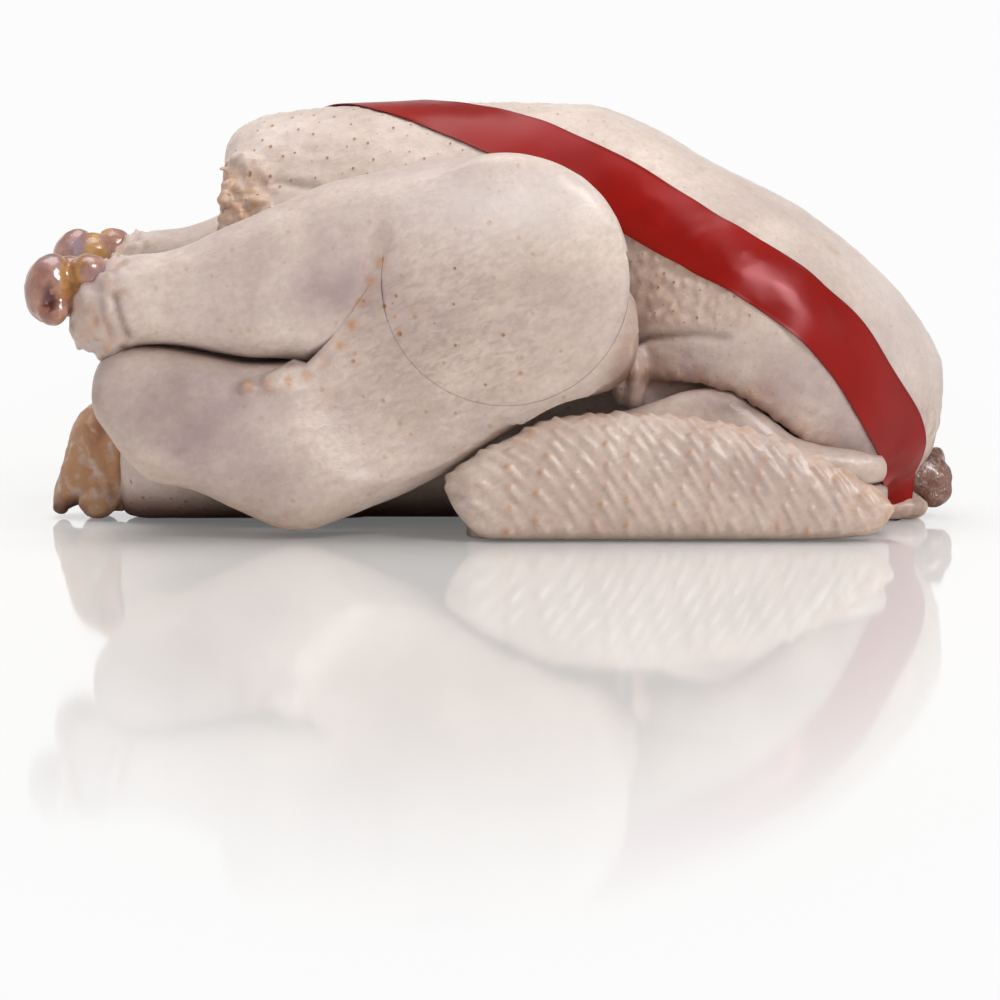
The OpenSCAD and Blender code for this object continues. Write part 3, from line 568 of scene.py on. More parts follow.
# folds whose creases are given painted shade below
flank_fold = furrow(places, [(46, 69), (58, 72.5), (74, 74.5), (90, 73)], 1.5) * flank
wing_arch = furrow(places, wing_edge, 2.6, 0.05) * flank
vent_fold = furrow(places, [(-88, 127), (-80, 129), (-68, 127), (-58, 124)], 1.8)
breast_folds = (furrow(places, [(92, 100), (106, 82), (116, 62), (124, 44)], 2.4)
                + furrow(places, [(104, 104), (120, 84), (131, 62), (138, 42)], 2.6)
                + furrow(places, [(122, 96), (136, 76), (144, 56)], 2.2))
# creased band of skin between the fatty patch and the wing
loose_band = flank * ease(x, 50, 64) * (1 - ease(x, 110, 130)) * ease(z, 34, 42) * (1 - ease(z, 72, 84))
neck_pucker = ease(x, 132, 152) * (1 - ease(z, 26, 52))
# painted shade inside the vent and under the body, where it meets the table
inside = (1 - ease(np.hypot(y / 27, (z - 95) / 26), 0.9, 1.03)) * (1 - ease(x, -10, 0))
underneath = (1 - ease(z, 3, 17)) * (1 - ease(x, 0, 60))
# painted shading: shade in the folds, along the wing's edge, in the vent, under the body and low on the
# flank, with darker blotches by the neck; below nought it is painted light on the breast's low front
painted_shading = np.clip(0.5 * flank_fold * (1 - 0.7 * ease(x, 56, 80)) + 0.9 * underneath + 0.42 * wing_arch
               + 0.3 * vent_fold + 0.75 * inside
               + 0.28 * neck_pucker * (ripple(places, 5, 3) > 0.15)
               + 0.12 * flank * pool(x, z, (92, 62), (26, 13))
               - 0.16 * ease(x, 126, 146) * ease(z, 40, 58), -0.5, 0.9)

spots = 0.35 + 0.65 * (1 - ease(x, 0, 62)) + 0.5 * fat + 0.5 * flank_patch
round_it = TORSO_ROUND * np.arctan2(y, z - TORSO_MIDDLE)
creases = np.stack([0.28 * x - 0.2 * z, 0.2 * y, 0.4 * x + 0.85 * z], axis=1)
coarse_bumps = goose_bumps(*follicle_chart(1.35 * x, 1.35 * round_it))
swell = (0.8 * ripple(places, 42, 1) + 0.35 * ripple(places, 15, 2) + 0.10 * ripple(places, 4.5, 4)
         + fat * (0.5 * ripple(places, 8, 5) + 0.3 * ripple(places, 4, 6))
         + (1.4 * fat + 0.7 * flank_patch) * np.exp(-(coarse_bumps / 2.1) ** 2)
         + neck_pucker * 0.8 * ripple(places, 7, 7)
         + 0.42 * spots * np.exp(-(goose_bumps(*follicle_chart(x, round_it)) / 1.7) ** 2)
         + 0.34 * loose_band * ripple(creases, 2.7, 8)
         - 2.2 * flank_fold - 0.3 * wing_arch - 1.3 * vent_fold - 0.55 * breast_folds)
swell *= ease(z, 0.5, 6)
places += facing * swell[:, None]
places[:, 2] = np.maximum(places[:, 2], 0.15)
place_points(torso, places)
keep(torso, "shades", [fat, rose, painted_shading])
keep(torso, "chart", [*follicle_chart(x, round_it), 0 * x])
keep(torso, "marks", [spots, 0.9 * fat, 0.12 + 0.35 * fat])
torso.data.materials.append(latex_skin)
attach(torso, "torso")
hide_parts("torso_skin")


# ---- Vent lining and squeaker ------------------------------------------------------------------
# A thin latex pouch lines the vent. The squeaker is a moulded polyethylene cup and cap with a
# brass reed between them, pushed into the torso from inside. They are kept in their made shapes.
lining, tree, surface = new_material("dipped_latex_lining")
place = node(tree, "ShaderNodeTexCoord").outputs["Object"]
drawn = node(tree, "ShaderNodeMapping", {"Vector": place, "Scale": (0.35, 1, 1)})
wet = noise(tree, drawn, 170, 4, 0.8)
blush = blend(tree, wet, "#A66A5A", "#6E3D33")
bump = fine_relief(tree, wet, 0.6, 0.0012)
cover(tree, surface, {
    "Base Color": blush, "Roughness": 0.42, "IOR": 1.5, "Coat Weight": 0.2, "Coat Roughness": 0.2,
    "Normal": bump})

cup, tree, surface = new_material("moulded_polyethylene")
place = node(tree, "ShaderNodeTexCoord").outputs["Object"]
flow = noise(tree, place, 140, 3)
waxy = blend(tree, flow, "#EFEADB", "#DDD6C3")
bump = fine_relief(tree, flow, 0.12, 0.0004)
cover(tree, surface, {
    "Base Color": waxy, "Roughness": 0.45, "IOR": 1.51, "Subsurface Weight": 0.2,
    "Subsurface Scale": 0.002, "Normal": bump})

reed, tree, surface = new_material("rolled_brass")
place = node(tree, "ShaderNodeTexCoord").outputs["Object"]
drawn = node(tree, "ShaderNodeMapping", {"Vector": place, "Scale": (0.06, 1, 1)})
# roll marks, 0.3 mm apart
marks = noise(tree, drawn, 3300, 2)
gold = blend(tree, marks, "#D2A95A", "#B98C3E")
bump = fine_relief(tree, marks, 0.15, 0.0001)
cover(tree, surface, {
    "Base Color": gold, "Metallic": 1.0, "Roughness": 0.3, "Normal": bump})

for name, made_of in (("vent_pouch", lining), ("squeaker_cup", cup), ("squeaker_cap", cup),
                      ("squeaker_reed", reed)):
    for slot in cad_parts[name].material_slots:
        slot.material = made_of


# ---- Thighs -----------------------------------------------------------------------------------
# Each thigh is its own latex skin over soft foam, snapped to a hip boss so that it swings. It
# carries the inner half of the knee, and its outer side leaves a round seat for the drumstick.
KNEE_X, KNEE_Z, KNEE_R = 5, 95, 45
LEG_OUT, KNEE_LAP = 99.4, 75.5
KNEE_DROP = 5
SEAM = 0.12


def limb(rows):
    """Rows for a left limb, from [x, inner y, outer y, z low, z high]."""
    return [[x, -y1, -y0, z0, (z0 + z1) / 2, z1] for x, y0, y1, z0, z1 in rows]


def turned(profile, around=120):
    """A round form about the left knee's axle, from [radius, y outward] rows."""
    points = []
    for radius, out in profile:
        for k in range(around):
            a = 2 * math.pi * k / around
            points.append((KNEE_X + radius * math.cos(a), -out, KNEE_Z + radius * math.sin(a)))
    return np.array(points), ring_faces(len(profile), around)


def knee_polar(places):
    """Distance from the knee's axle, and the angle round it in degrees, 0 forward."""
    dx, dz = places[:, 0] - KNEE_X, places[:, 2] - KNEE_Z
    return np.hypot(dx, dz), np.degrees(np.arctan2(dz, dx))


def knee_cap(radius):
    """How far out the knee's dome reaches at a distance from its axle."""
    return LEG_OUT - KNEE_DROP * (radius / KNEE_R) ** 2 * (1 - ease(radius, 50, 100))


# The valley where the folded drumstick leaves the thigh and runs up into the knee.
VALLEY = [(-134, 70.6), (-118, 70.6), (-105, 68.0), (-90, 65.2), (-68, 65.4), (-60, 72), (-52.5, 81),
          (-46, 91), (-41, 101), (-37, 109), (-31, 116)]


def knee_folds(places):
    """Fine crosswise wrinkles and bumps where the skin bunches at the knee."""
    x, y, z = places.T
    outer = ease(-y, 76, 88)
    near = pool(x, z, (-18, 76), (46, 34))
    above = ease(z - np.interp(x, [p[0] for p in VALLEY], [p[1] for p in VALLEY]), -1, 4)
    return outer * near * np.where(x < -37, 1 - above, 1)


def leg_relief(places):
    """The swell of a leg's skin, the same on both sides of the knee's seam."""
    x, y, z = places.T
    combed = places * (0.42, 1, 1.5)
    bunched = knee_folds(places)
    swell = (0.55 * ripple(places, 34, 21) + 0.28 * ripple(places, 13, 22)
             + 0.14 * ripple(combed, 4.5, 23)
             + bunched * (0.62 * ripple(combed, 4.2, 24) + 0.42 * ripple(places, 5.5, 25)))
    outer = ease(-y, 80, 92)
    dimple = furrow(places, [(8, 102), (12, 104), (19, 105)], 1.6, 0.3)
    knee_cap_rise = pool(x, z, (24, 119), (20, 15))
    hollow_below = pool(x, z, (20, 92), (30, 11))
    return swell + outer * (2.6 * knee_cap_rise - 1.5 * hollow_below - 0.7 * dimple)


def leg_spots(places):
    """How clearly the follicles' dots show on a leg."""
    x, y, z = places.T
    return np.clip(0.42 + 0.75 * knee_folds(places) + 0.25 * pool(x, z, (-5, 112), (30, 18))
                   - 0.42 * pool(x, z, (28, 98), (20, 26)) - 0.2 * ease(-x, 100, 130) * (z < 70), 0.02, 1.1)


THIGH = limb([
    [-145.6, 64, 86, 48, 58], [-144, 60, 90, 43.5, 63], [-141, 56, 93, 39, 66.5],
    [-134, 53.4, 95, 29, 70.4], [-126, 53.4, 96, 21.5, 71.0], [-110, 53.4, 97, 17.6, 69.4],
    [-90, 53.4, 98, 8.8, 65.3], [-77, 53.4, 98.6, 3.2, 65.0], [-66, 53.4, 99, 3.0, 65.4],
    [-56, 53.4, 99.4, 6.8, 64], [-43, 53.4, 100, 12, 64], [-34, 53.4, 100.4, 15.5, 86],
    [-15, 53.4, 100.4, 25, 94], [3, 53.4, 100.4, 37.4, 94], [25, 54, 100, 49.4, 95],
    [42, 56, 99, 53.6, 95], [49, 60, 96, 58.5, 92], [52.4, 64, 92, 65, 87], [53.6, 70, 88, 70, 81]])
BULGE = limb([
    [-84, 86, 95.5, 52, 61], [-74, 84, 97, 50, 66], [-67, 82, 98, 50, 69], [-60, 80, 98.4, 50, 75.5],
    [-52.5, 79, 98.6, 50, 84.5], [-46, 78, 98.8, 50, 94.5], [-41, 78, 98.8, 50, 104.5],
    [-37, 78, 98.8, 50, 110], [-30, 78, 98.8, 50, 112]])
# where the drumstick's skin begins, from the groove up to the knee's disc
LEG_SEAM = [(-92, 40), (-67, 65), (-59, 73), (-51, 83), (-45, 92), (-38.85, 105.1)]
GROOVE_RIDGE = limb([[-127, 58, 63, 60, 69.5], [-118, 55.5, 66, 58, 72.4], [-104, 55, 66.5, 56, 72],
                     [-90, 55, 66.5, 54, 70.4], [-76, 55, 66.5, 52, 69.6], [-66, 57, 65, 52, 68]])
INNER_KNEE = [[6, 53.6], [30, 53.9], [36, 55.2], [40, 57.6], [42.6, 61], [43.8, 66], [44, KNEE_LAP - SEAM]]
FATTY_BUMPS = [(-40.5, 102), (-43.5, 95), (-47, 87), (-50.5, 79), (-55, 71.5), (-60.5, 65.5), (-67, 61),
               (-74, 58.5), (-81, 57.5), (-89, 57)]
# the two folds of the cuff of skin above the hock
CUFF_FOLDS = [(-137.5, 92), (-135, 82), (-131, 72)], [(-142.5, 90), (-141, 82), (-138, 74)]

thigh_forms = [loft(THIGH, power=2.5), loft(BULGE), loft(GROOVE_RIDGE), turned(INNER_KNEE)]
random = np.random.default_rng(23)
for x, z in FATTY_BUMPS:
    thigh_forms.append(blob((x, -95.4 + random.uniform(-0.6, 0.6), z), (3.4, 3.6, 2.9)))

thigh = mesh_piece("left_thigh_skin", thigh_forms)
soften(thigh, grain=1.15, passes=9)
places, facing = points_of(thigh)
radius, angle = knee_polar(places)
outer = places[:, 1] < -60
places[:, 1] = np.where(outer, np.maximum(places[:, 1], -knee_cap(radius)), places[:, 1])
place_points(thigh, places)
modify(thigh, "SMOOTH", factor=0.5, iterations=2)
places, facing = points_of(thigh)
radius, angle = knee_polar(places)
seam_side = (radius < 52) & (places[:, 1] < -86)
places[:, 1] = np.where(seam_side, -knee_cap(radius), places[:, 1])
combed = ripple(places * (0.3, 1, 1.9), 5, 27)
swell = leg_relief(places) + 0.16 * combed * ease(-places[:, 1], 80, 92)
swell *= ease(places[:, 2], 2, 8) * (1 - (places[:, 1] > -60))
places += facing * swell[:, None]
places[:, 2] = np.maximum(places[:, 2], 0.4)
places[:, 1] = np.minimum(places[:, 1], -53.45)
place_points(thigh, places)
above_seam = [(x - 0.25, z + 0.2) for x, z in LEG_SEAM[1:]] + [(-30, 125), (-72, 125), (-76, 67.5)]
carve(thigh, [rod((KNEE_X, -KNEE_LAP, KNEE_Z), (KNEE_X, -130, KNEE_Z), KNEE_R + SEAM, 160),
              slab(above_seam, -130, -KNEE_LAP)])
thigh.data.set_sharp_from_angle(angle=math.radians(55))


def dress_leg(piece):
    """Works out where a leg's skin is fatty, rosy and dotted, and where shade and light are painted on it.
    """
    places, facing = points_of(piece)
    x, y, z = places.T
    bumps = np.min([np.hypot(x - bx, z - bz) for bx, bz in FATTY_BUMPS], axis=0)
    outer = ease(-y, 76, 90)
    low_edge = 1 - ease(z - np.interp(x, [-146, -126, -77, -56, 3, 44], [44, 22, 3, 7, 37, 54]), 1, 13)
    hock = (1 - ease(x, -140, -126)) * (z > 68)
    # warm painted shade along the front edge below the knee
    right_edge = ease(x + 0.35 * (95 - z), 49, 58) * (z < 92)
    fat = (0.85 * (1 - ease(bumps, 0.6, 3.4)) * outer + 0.18 * knee_folds(places) + 0.5 * right_edge
           + 0.30 * low_edge * (x < -50) + 0.55 * hock * ease(ripple(places, 5, 37), -0.2, 0.5))
    # lilac mottling; the patch low at the back of the thigh is painted shade, and the knee's top is cleared
    # of it as painted light
    lilac = (1.0 * pool(x, z, (-62, 98), (26, 17))
             + 0.55 * pool(x, z, (-22, 124), (22, 11))
             + 0.85 * pool(x, z, (-108, 44), (34, 22))
             + 0.40 * knee_folds(places) + 0.35 + 0.3 * hock
             - 0.9 * pool(x, z, (28, 122), (30, 20)))
    seam, _ = line_distance(places, VALLEY[:7])
    nook = pool(x, z, (50, 60), (8, 9))
    cuff = (furrow(places, CUFF_FOLDS[0], 1.3) + 0.5 * furrow(places, CUFF_FOLDS[1], 1.1)) * outer
    # painted shading: shade in the groove under the drumstick, the nook beside the knee, the cuff's folds,
    # along the lower edge and low on the thigh, with darker blotches at the hock; below nought it is painted
    # light on the knee's top
    painted_shading = (0.60 * np.exp(-(seam / 1.7) ** 2) * (1 - ease(x, -66, -56)) + 0.50 * nook + 0.12 * right_edge
            + 0.22 * pool(x, z, (-122, 54), (24, 20)) * (z < 71) + 0.45 * cuff
            + 0.30 * hock * ease(ripple(places, 3.4, 36), 0.25, 0.8)
            + 0.30 * low_edge * ease(x, -70, 10)
            + 0.13 * pool(x, z, (-72, 22), (26, 14))
            - 0.46 * pool(x, z, (8, 124), (38, 13)))
    keep(piece, "shades", [np.clip(fat, 0, 1), np.clip(lilac, 0, 1), np.clip(painted_shading, -0.8, 0.95)])
    keep(piece, "marks", [0 * x, leg_spots(places), 0.25 + 0.6 * knee_folds(places)])
    piece.data.materials.clear()
    piece.data.materials.append(latex_skin)


def mirrored(piece, name):
    """The right-hand twin of a left-hand piece."""
    twin = bpy.data.objects.new(name, piece.data.copy())
    bpy.context.collection.objects.link(twin)
    work = bmesh.new()
    work.from_mesh(twin.data)
    for point in work.verts:
        point.co.y *= -1
    bmesh.ops.reverse_faces(work, faces=work.faces)
    work.to_mesh(twin.data)
    work.free()
    return twin


def fit_pair(piece, body, stands_for):
    """Fits a left-hand piece and its twin to their bodies."""
    twin = mirrored(piece, piece.name.replace("left", "right"))
    for side, made in (("left", piece), ("right", twin)):
        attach(made, f"{side}_{body}")
        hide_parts(f"{side}_{stands_for}")
    return twin


dress_leg(thigh)
fit_pair(thigh, "upper_leg", "thigh")


# ---- Drumsticks -------------------------------------------------------------------------------
# The drumstick is a second latex skin, folded back along the thigh. It ends in a domed disc that
# covers the outside of the knee and turns on the knee's stud.
DRUMSTICK = limb([
    [-154.4, 71.5, 82, 76, 81], [-152.6, 67.5, 86, 73, 86], [-149.5, 64.5, 88.5, 70.6, 92],
    [-145, 62.5, 90.5, 69, 96.8], [-138, 61.5, 92, 67, 100.2], [-133.5, 61.2, 92.3, 68.6, 102.8],
    [-129, 61, 92.4, 70.6, 103.6], [-118, 60, 93, 70.8, 104.8], [-105, 59, 94, 68.4, 109.8],
    [-90, 58, 95.8, 65.8, 116.8], [-74, 57, 97.2, 65.4, 124], [-66, 56.6, 97.6, 63.4, 127.6],
    [-59, 56, 98, 68, 130.4], [-52, 56, 98.2, 76, 132], [-45, 56, 98.2, 86, 133.4],
    [-39, 56, 98.2, 95, 134.6], [-27, 57, 98, 105, 137.2], [-12, 60, 97, 114, 139.4],
    [5, 64, 94, 120, 138.6]])
SHANK = limb([[-100, 60, 84, 70, 104], [-72, 56.6, 85, 65.4, 118], [-52, 56, 84, 63, 122],
              [-38, 56, 83, 64, 122], [-24, 57, 82, 68, 122]])
KNEE_DOME = [[45.9, KNEE_LAP + SEAM], [46.3, 86], [46, 91], [45, 94.4]] + [
    [r, LEG_OUT + 1 - KNEE_DROP * (r / KNEE_R) ** 2] for r in (42, 35, 28, 20, 12, 4)]
arc = [(KNEE_X + KNEE_R * math.cos(math.radians(a)), KNEE_Z + KNEE_R * math.sin(math.radians(a)))
       for a in range(14, -196, -3)]
OFF_THE_DOME = arc + LEG_SEAM[-2::-1] + [(-92, -20), (110, -20), (110, 106)]

drumstick_forms = [loft(DRUMSTICK, power=2.25), loft(SHANK), turned(KNEE_DOME)]
random = np.random.default_rng(31)
# loose skin pushed up into rings round the hock
for ring, wide, middle, tall, size in ((-150.5, 9.5, 80.5, 8, 3.0), (-146, 12, 83, 11.6, 3.2),
                                       (-140.5, 13.2, 84, 14.2, 3.4), (-136, 13.6, 85, 15, 2.8)):
    for k in range(14):
        a = 2 * math.pi * (k + random.uniform(-0.35, 0.35)) / 14
        drumstick_forms.append(blob(
            (ring + random.uniform(-1.6, 1.6), -76.5 + wide * math.cos(a), middle + tall * math.sin(a)),
            (size * random.uniform(0.45, 0.95), size, size * random.uniform(0.9, 1.9)),
            random.uniform(-0.5, 0.5)))

drumstick = mesh_piece("left_drumstick_skin", drumstick_forms)
soften(drumstick, grain=1.15, passes=12)
places, facing = points_of(drumstick)
radius, angle = knee_polar(places)
from_seam = np.where(angle < 14, np.maximum(0, -angle - 160), np.minimum(angle - 14, 180 - angle))
facing_seam = 1 - ease(np.where(angle > 14, from_seam, 0), 8, 40)
cap = -(knee_cap(radius) + 6 * (1 - facing_seam))
on_dome = (places[:, 1] < -80) & (radius < 51)
places[:, 1] = np.where(on_dome, np.maximum(places[:, 1], cap), places[:, 1])
place_points(drumstick, places)
modify(drumstick, "SMOOTH", factor=0.5, iterations=2)
places, facing = points_of(drumstick)
radius, angle = knee_polar(places)
seam_side = (radius > 36) & (radius < 49) & (places[:, 1] < -86) & (angle < 12) & (angle > -165)
places[:, 1] = np.where(seam_side, -knee_cap(radius), places[:, 1])
x, y, z = places.T
ankle = 1 - ease(x, -140, -124)
swell = leg_relief(places)
swell += ankle * (0.7 * ripple(places, 4.2, 33) + 0.4 * ripple(places, 2.6, 34))
swell += 0.35 * (1 - ease(x, -128, -60)) * ripple(places * (0.35, 1, 1), 6, 35)
cuff = 1.5 * furrow(places, CUFF_FOLDS[0], 1.5) + 0.9 * furrow(places, CUFF_FOLDS[1], 1.2)
cuff *= ease(-y, 78, 86)
swell = (swell - cuff) * (y < -60)
places += facing * swell[:, None]
places[:, 1] = np.minimum(places[:, 1], -54)
place_points(drumstick, places)
carve(drumstick, [slab(OFF_THE_DOME, -130, -KNEE_LAP),
                  rod((KNEE_X, -20, KNEE_Z), (KNEE_X, -KNEE_LAP - SEAM, KNEE_Z), KNEE_R + 0.6, 120)])
drumstick.data.set_sharp_from_angle(angle=math.radians(55))
dress_leg(drumstick)
fit_pair(drumstick, "lower_leg", "drumstick")


# ---- Shin bones -------------------------------------------------------------------------------
# The knobbed end of the shin stands out of each drumstick. It is a hard polyurethane casting,
# tinted in the mass, with rust-coloured washes left in its hollows.
bone, tree, surface = new_material("cast_polyurethane_bone")
place = node(tree, "ShaderNodeTexCoord").outputs["Object"]
hollows = node(tree, "ShaderNodeAttribute", attribute_name="shades")
hollow, yellow, deep = node(tree, "ShaderNodeSeparateXYZ", {0: hollows.outputs["Vector"]}).outputs
bone_tone = colour("#BC9384")
for scale, low, high, over in ((120, 0.35, 0.65, "#99695A"), (60, 0.50, 0.78, "#A8949F")):
    cloud = noise(tree, place, scale, 3)
    share = remap(tree, cloud, low, high)
    bone_tone = blend(tree, share, bone_tone, over)
for share, over in ((yellow, "#CC9B4C"), (hollow, "#93503B"), (deep, "#4A150F")):
    bone_tone = blend(tree, share, bone_tone, over)
pits = noise(tree, place, 420, 4)
bump = fine_relief(tree, pits, 0.4, 0.0008)
cover(tree, surface, {
    "Base Color": bone_tone, "Roughness": 0.26, "IOR": 1.5, "Subsurface Weight": 0.15,
    "Subsurface Radius": (1.0, 0.4, 0.3), "Subsurface Scale": 0.002, "Coat Weight": 0.35,
    "Coat Roughness": 0.12, "Normal": bump})

shin = mesh_piece("left_shin_bone", [
    blob((-161, -77.5, 91.3), (9.6, 10, 13), 0.12), blob((-154, -72, 95), (9, 9, 8.4)),
    blob((-147, -80, 98.2), (7.4, 7.6, 6.4)), blob((-160, -83, 84), (6.5, 5.5, 6)),
    rod((-158, -76.4, 87), (-90, -76.4, 87), 6.1)])
soften(shin, grain=0.8, passes=7)
places, facing = points_of(shin)
x, y, z = places.T
socket = np.exp(-(((x + 161) / 3.0) ** 2 + ((y + 87) / 6) ** 2 + ((z - 88) / 5.0) ** 2))
notch = pool(x, z, (-153.5, 97), (2.2, 5)) * (y < -76)
swell = 0.5 * ripple(places, 7, 41) + 0.22 * ripple(places, 3, 42) - 2.2 * socket - 1.0 * notch
swell *= x < -140
place_points(shin, places + facing * swell[:, None])
keep(shin, "shades", [np.clip(0.8 * socket + 0.35 * (ripple(places, 6, 43) > 0.25) + 0.4 * notch, 0, 0.9),
                      0.75 * ease(x, -159, -155.5) * (1 - ease(x, -150, -147))
                      * ease(ripple(places, 5, 44), -0.3, 0.2),
                      np.clip(1.2 * socket * (ripple(places, 2.2, 45) > -0.1), 0, 0.9)])
shin.data.materials.append(bone)
fit_pair(shin, "lower_leg", "shank_bone")


# ---- Wings ------------------------------------------------------------------------------------
# Each wing is two latex skins: an upper wing that turns under the breast, and a forewing that
# folds flat outside it. The mould's quill ridges run in slanting rows over both.
ELBOW, SHOULDER = (4, 76), (134, 62)
QUILL_GAP, QUILL_LENGTH = 4.9, 14.5
FOREWING = limb([
    [-16.8, 84, 93, 18, 23], [-14.6, 81.5, 96.5, 13, 25.6], [-10.5, 80.2, 98.4, 7.6, 28.8],
    [-4, 80, 99.2, 1.6, 32.8], [6, 80, 99.4, 0.6, 38], [18, 80, 99.6, 0.5, 43.4], [36, 80, 99.6, 0.5, 46.4],
    [55, 80, 99.6, 0.5, 46.8], [73, 80, 99.6, 0.5, 45.2], [92, 80, 99.4, 0.5, 41.4],
    [106, 80, 99, 0.6, 36.4], [120, 80, 98.6, 0.8, 30.2], [132, 80.2, 98, 1.6, 24],
    [140, 81.5, 97, 3, 18.4], [144.5, 84, 95, 8, 15], [146, 86.5, 92.5, 10, 13]])
UPPER_WING = limb([
    [4, 67, 78, 18.4, 28], [23, 60, 79, 18.4, 38], [45, 60, 79, 18.4, 45], [60, 60, 79, 18.4, 49.4],
    [73, 60, 79, 18.4, 53.4], [86, 60, 79, 18.4, 54], [99, 60, 79, 18.4, 46], [111, 60, 78.4, 18.4, 36.5],
    [121, 59.6, 76.5, 18.4, 33], [131, 59.2, 75, 18.6, 31.6], [140, 59, 72, 19.4, 29.6],
    [145.5, 60, 69, 21.5, 26.5]])


def quills(places):
    """The quill ridges of a wing from 0 to 1, fine streaks beside them, and a pore at each head."""
    x, y, z = places.T
    high = z + 0.8 * (99 + y)
    across = 0.5 * x + 0.21 * (x - 25 + np.sqrt((x - 25) ** 2 + 400)) + 0.6 * high
    down = 0.53 * x - 0.85 * high
    line = across / QUILL_GAP
    number = np.floor(line)
    off_line = line - number - 0.5 - 0.16 * np.sin(down / 7 + number * 1.7)
    place_on = down / QUILL_LENGTH + 0.37 * number + 0.13 * np.sin(number * 5.3)
    row = np.floor(place_on)
    t = place_on - row
    body = ease(t, 0.0, 0.16) * (1 - ease(t, 0.35, 1.0)) + 0.5 * np.exp(-((t - 0.14) / 0.09) ** 2)
    ridge = body * (0.5 + 0.5 * np.cos(2 * np.pi * np.clip(off_line, -0.5, 0.5))) ** 1.4
    streak = ripple(np.stack([down * 0.24, across, 0 * x], axis=1), 1.9, 53)
    kept = np.sin(number * 12.9 + row * 7.7) > -0.35
    pore = kept * np.exp(-(off_line * QUILL_GAP / 1.0) ** 2 - ((t - 0.10) * QUILL_LENGTH / 1.1) ** 2)
    return ridge, streak, pore


def finish_wing(piece, height, shades):
    """Raises the quills on a wing's outer side and shades it."""
    places, facing = points_of(piece)
    ridge, streak, pore = quills(places)
    outer = ease(-facing[:, 1] + 0.5 * facing[:, 2], -0.2, 0.35)
    swell = (0.45 * ripple(places, 22, 51) + 0.22 * ripple(places, 8, 52)
             + height * outer * (0.85 * ridge + 0.22 * streak))
    places += facing * (swell * ease(places[:, 2], 0.6, 5))[:, None]
    places[:, 2] = np.maximum(places[:, 2], 0.3)
    place_points(piece, places)
    fat, lilac, painted_shading = shades(places)
    # painted shade in the grooves between the quills, in lilac and brown
    groove_shade = height * outer * (0.15 * (1 - np.clip(ridge, 0, 1)) + 0.13 * np.clip(-streak, 0, 1))
    keep(piece, "shades", [np.clip(fat + 0.95 * height * outer * pore, 0, 1), np.clip(lilac + groove_shade, 0, 1),
                           np.clip(painted_shading + 0.22 * groove_shade, 0, 0.9)])
    keep(piece, "marks", [0 * fat, 0.25 + 0 * fat, 0.30 * height + 0 * fat])
    piece.data.materials.append(latex_skin)


def forewing_shades(places):
    """Where a forewing is fatty and rosy, and where shade is painted on it."""
    x, y, z = places.T
    top = 1 - ease(np.interp(x, [-15, 3, 18, 55, 92, 120, 146], [20, 37, 44, 47, 42, 30, 13]) - z, 0, 9)
    fat = 0.20 + 0.42 * top * ease(ripple(places, 9, 54), -0.4, 0.4) + 0.3 * ease(x, 118, 140)
    lilac = 0.5 * pool(x, z, (82, 26), (34, 12)) + 0.22
    # painted shade at the elbow end and along the bottom edge, by the table
    painted_shading = 0.26 * (1 - ease(x, -14, 4)) * ease(ripple(places, 7, 55), -0.3, 0.5) + 0.30 * (1 - ease(z, 0, 5))
    return [np.clip(fat, 0, 1), np.clip(lilac, 0, 1), np.clip(painted_shading, 0, 0.7)]


def upper_wing_shades(places):
    """Where an upper wing is fatty and rosy, and where shade is painted on it."""
    x, y, z = places.T
    # the heavy lilac stands partly for painted shade, and a patch of painted shade lies in the recess near
    # its top
    recess_shade = pool(x, z, (92, 47.5), (13, 3.4)) * ease(-y, 66, 76)
    return [0.15 + 0 * x, 0.75 + 0.3 * ripple(places, 14, 56), np.clip(0.06 + 0.5 * recess_shade, 0, 0.7)]


forewing = mesh_piece("left_forewing_skin", [
    loft(FOREWING, power=2.5), rod((ELBOW[0], -ELBOW[1], 0.6), (ELBOW[0], -ELBOW[1], 15.4), 13.4)])
soften(forewing, grain=0.7, passes=9)
carve(forewing, [rod((ELBOW[0], -ELBOW[1], 16), (ELBOW[0], -ELBOW[1], 60), 11.6)])
finish_wing(forewing, 1.0, forewing_shades)
fit_pair(forewing, "outer_wing", "forewing")

upper_wing = mesh_piece("left_upper_wing_skin", [
    loft(UPPER_WING, power=2.4), rod((ELBOW[0], -ELBOW[1], 16.6), (ELBOW[0], -ELBOW[1], 25.6), 10.8),
    rod((SHOULDER[0], -SHOULDER[1], 18.8), (SHOULDER[0], -SHOULDER[1], 29), 10.6)])
soften(upper_wing, grain=1.15, passes=7)
carve(upper_wing, [rod((ELBOW[0], -ELBOW[1], -10), (ELBOW[0], -ELBOW[1], 16.2), 17)])
finish_wing(upper_wing, 0.2, upper_wing_shades)
fit_pair(upper_wing, "inner_wing", "upper_wing")


# ---- Snap studs and washers --------------------------------------------------------------------
# Each limb turns on a turned acetal stud with a spring lock behind it, and a punched nylon washer
# keeps the two rubber skins apart. They are kept in their made shapes.
acetal, tree, surface = new_material("turned_acetal")
place = node(tree, "ShaderNodeTexCoord").outputs["Object"]
cloud = noise(tree, place, 90, 3)
ivory = blend(tree, cloud, "#EFEDE4", "#DDD9CC")
# fine rings left by the lathe, 0.25 mm apart
marks = noise(tree, place, 4000, 2)
bump = fine_relief(tree, marks, 0.2, 0.0002)
cover(tree, surface, {
    "Base Color": ivory, "Roughness": 0.32, "IOR": 1.48, "Normal": bump})

